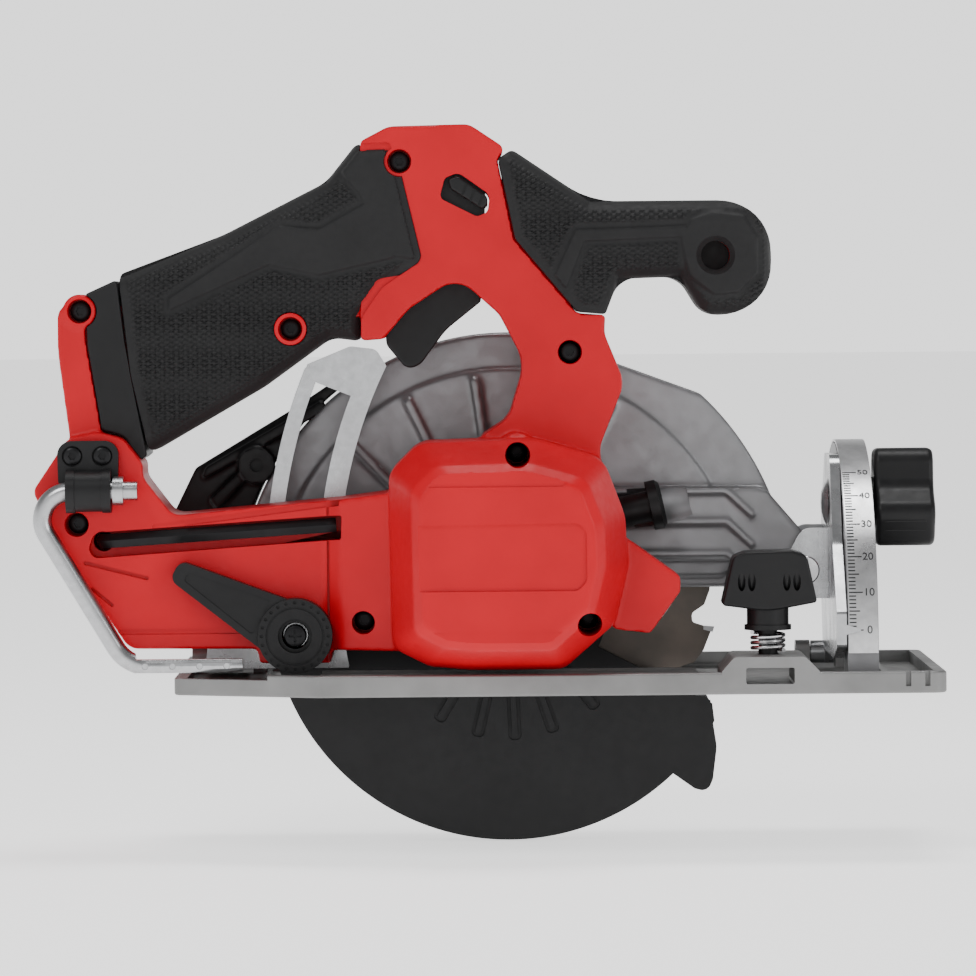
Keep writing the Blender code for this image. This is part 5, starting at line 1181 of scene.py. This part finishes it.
def shoe():
    """Cast shoe: thin deck, raised rim, ribs, hinge lugs and the fence bridge."""
    plan = [(-106, -33, 3), (-60, -52, 6), (137, -52, 4), (137, 60, 4), (-106, 60, 4)]
    plate = slab(plan, 0.0, 6.8, "XY")
    eased(plate, 0.7, 3)
    cut(plate, slab(grown(plan, -4.0), 3.0, 10.0, "XY"))
    cut(plate, slab([(-78.5, 14.5, 2), (77.5, 14.5, 2), (77.5, 47.5, 2), (-78.5, 47.5, 2)], -5, 12, "XY"),
        slab(rectangle(-78.5, 47, 77.5, 53.5), 1.8, 12, "XY"), slab(rectangle(-111, 5.2, -76, 12), -60, 5.0))
    bridge = [(66.4, 1, 0), (97, 1, 0), (97, 7.2, 0.5), (92.6, 11.7, 2), (70.4, 11.7, 2), (66.4, 7.2, 0.5)]
    solids = [slab(bridge, -52.0, -18.0)]
    for low, high in ((-103.5, -98.5), (-83.5, -79.0), (94.0, 98.6), (107.0, 112.0)):
        solids.append(slab([(29.5, 1, 0), (38.5, 1, 0), (38.5, 11.8, 3), (29.5, 11.8, 3)], low, high, "YZ"))
    for y in (-40.0, -22.0, -4.0):
        solids.append(slab(rectangle(-60, y - 0.9, 60, y + 0.9), 1.0, 5.6, "XY"))
    solids.append(slab(rectangle(118, -49, 120, 57), 1.0, 5.6, "XY"))
    join(plate, *solids)
    cut(plate, slab(rectangle(74.0, 3.2, 89.2, 8.3, 0.6), -60, -10), drum(FENCE_BOLT, 3.4, 7, 20, "XY"))
    for x in (124.0, 130.0):
        cut(plate, slab(rectangle(x, -60, x + 1.6, -50), 2.2, 12, "XY"))
    for low, high in ((-105.0, -77.0), (92.0, 114.0)):
        cut(plate, drum(BEVEL_PIVOT, 2.05, low, high, "YZ", 32))
    eased(plate, 0.3, 2, 40)
    finish_piece(plate, "cast_shoe_plate", "shoe", ["shoe"], "shoe_casting")


def fence_knob():
    """Winged knob with its screw in one piece."""
    wing = [(67.0, 27.4, 1), (81.7, 25.4, 20), (97.0, 28.2, 1), (93.8, 43.2, 3), (89, 44.6, 3),
            (74.6, 44.2, 3), (70.6, 42.6, 2)]
    knob = slab(wing, -43.0, -27.0)
    eased(knob, 2.2, 4)
    for x in (73.2, 76.4, 87.4, 90.6):
        cut(knob, rod((x, -46, 41.5), (x, -40.6, 29.5), 1.2, 20),
            rod((x, -24, 41.5), (x, -29.4, 29.5), 1.2, 20))
    join(knob, drum(FENCE_BOLT, 6.6, 19.4, 30.0, "XY"), drum(FENCE_BOLT, 7.4, 19.4, 21.0, "XY"))
    eased(knob, 0.3, 2)
    join(knob, turned([(0, 8.7), (2.6, 8.7), (3.0, 9.1), (3.0, 25.0), (0, 25.0)], FENCE_BOLT, "XY"))
    finish_piece(knob, "fence_hand_knob", "fence_knob", ["fence_knob"], "black_plastic")


def coil(centre, radius, wire, low, high, turns):
    """Upright coil of round wire."""
    total = int(turns * 28)
    points = [(*polar(centre, radius, 360.0 * k / 28), low + (high - low) * k / total)
              for k in range(total + 1)]
    return tube(points, wire, 3)


def fence_spring():
    spring = coil(FENCE_BOLT, 5.0, 0.65, 12.8, 18.5, 3.5)
    finish_piece(spring, "fence_knob_spring", "shoe", ["fence_spring"], "bright_steel")


# ---------------------------------------------------------------- hidden and carried-over nodes

def paint_frame():
    """Gives every CAD node the finish of its slot."""
    slots = {row["node"]: row["material_slot"] for row in frame["record"]["subparts"]}
    for name, node in frame["nodes"].items():
        node.data.materials.clear()
        node.data.materials.append(FINISH[slots[name]])


# ---------------------------------------------------------------- studio

def area_light(name, place, power):
    """Round soft lamp aimed at the middle of the saw."""
    lamp = bpy.data.lights.new(name, "AREA")
    lamp.shape = "DISK"
    lamp.size = 0.6
    lamp.energy = power
    holder = linked(name, lamp)
    holder.location = place
    holder.rotation_euler = (SAW_MIDDLE - Vector(place)).to_track_quat("-Z", "Y").to_euler()


def surround():
    """World that is bright along the horizon and dim above, the same all the way round."""
    world = bpy.data.worlds.new("studio")
    world.use_nodes = True
    tree = world.node_tree
    split = tree.nodes.new("ShaderNodeSeparateXYZ")
    tree.links.new(tree.nodes.new("ShaderNodeTexCoord").outputs["Generated"], split.inputs["Vector"])
    height = tree.nodes.new("ShaderNodeMath")
    height.operation = "ABSOLUTE"
    tree.links.new(split.outputs["Z"], height.inputs[0])
    fall = tree.nodes.new("ShaderNodeMapRange")
    for name, value in (("From Min", 0.08), ("From Max", 0.4), ("To Min", 1.7), ("To Max", 0.3)):
        fall.inputs[name].default_value = value
    tree.links.new(height.outputs["Value"], fall.inputs["Value"])
    tree.links.new(fall.outputs["Result"], tree.nodes["Background"].inputs["Strength"])
    tree.nodes["Background"].inputs["Color"].default_value = (1.0, 1.0, 1.0, 1.0)
    bpy.context.scene.world = world


def studio():
    """Wide pale floor and soft lamps."""
    level = cad_box[0][2] - 0.0005
    bm = bmesh.new()
    bmesh.ops.create_grid(bm, x_segments=1, y_segments=1, size=60.0)
    bmesh.ops.translate(bm, vec=(0, 0, level), verts=bm.verts)
    floor = solid(bm)
    if floor.data.polygons[0].normal.z < 0:
        floor.data.flip_normals()
    floor.name = "floor"
    paint, shader, place = start_material("pale_floor", (0.9, 0.9, 0.9), 0.75)
    shader.inputs["Specular IOR Level"].default_value = 0.1
    shader.inputs["Emission Color"].default_value = (1.0, 1.0, 1.0, 1.0)
    shader.inputs["Emission Strength"].default_value = 1.1
    bumped(paint, shader, noise(paint, place, 40.0, 2.0), 0.02, 0.001)
    floor.data.materials.append(paint)
    surround()
    area_light("key", (-0.7, -1.1, 1.2), 9)
    area_light("fill", (1.1, -1.0, 0.4), 3)
    area_light("top", (0.1, 0.0, 1.3), 8)


def camera():
    """Long lens a little over 1.8 m in front, aimed slightly down."""
    lens = bpy.data.cameras.new("camera")
    lens.sensor_width = 36.0
    lens.lens = FOCAL_SHARE * lens.sensor_width
    lens.clip_end = 20.0
    holder = linked("camera", lens)
    tilt, roll = math.radians(90 - 1.85), math.radians(-0.5)
    look = Matrix.Rotation(tilt, 4, "X") @ Matrix.Rotation(roll, 4, "Z")
    holder.matrix_world = Matrix.Translation((-0.006243, -1.809, 0.122098)) @ look
    bpy.context.scene.camera = holder


camera()
studio()
paint_frame()
housing()
rear_grip()
front_grip()
battery_sleeve()
screws()
hook_clamp()
rafter_hook()
hex_key()
vent_and_lens()
trigger()
lock_off_button()
spindle_lock_button()
depth_lock()
upper_guard()
dust_chute()
lower_guard()
saw_blade()
blade_fittings()
depth_quadrant()
bevel_bracket()
bevel_knob()
bevel_quadrant()
bevel_scale()
shoe()
fence_knob()
fence_spring()
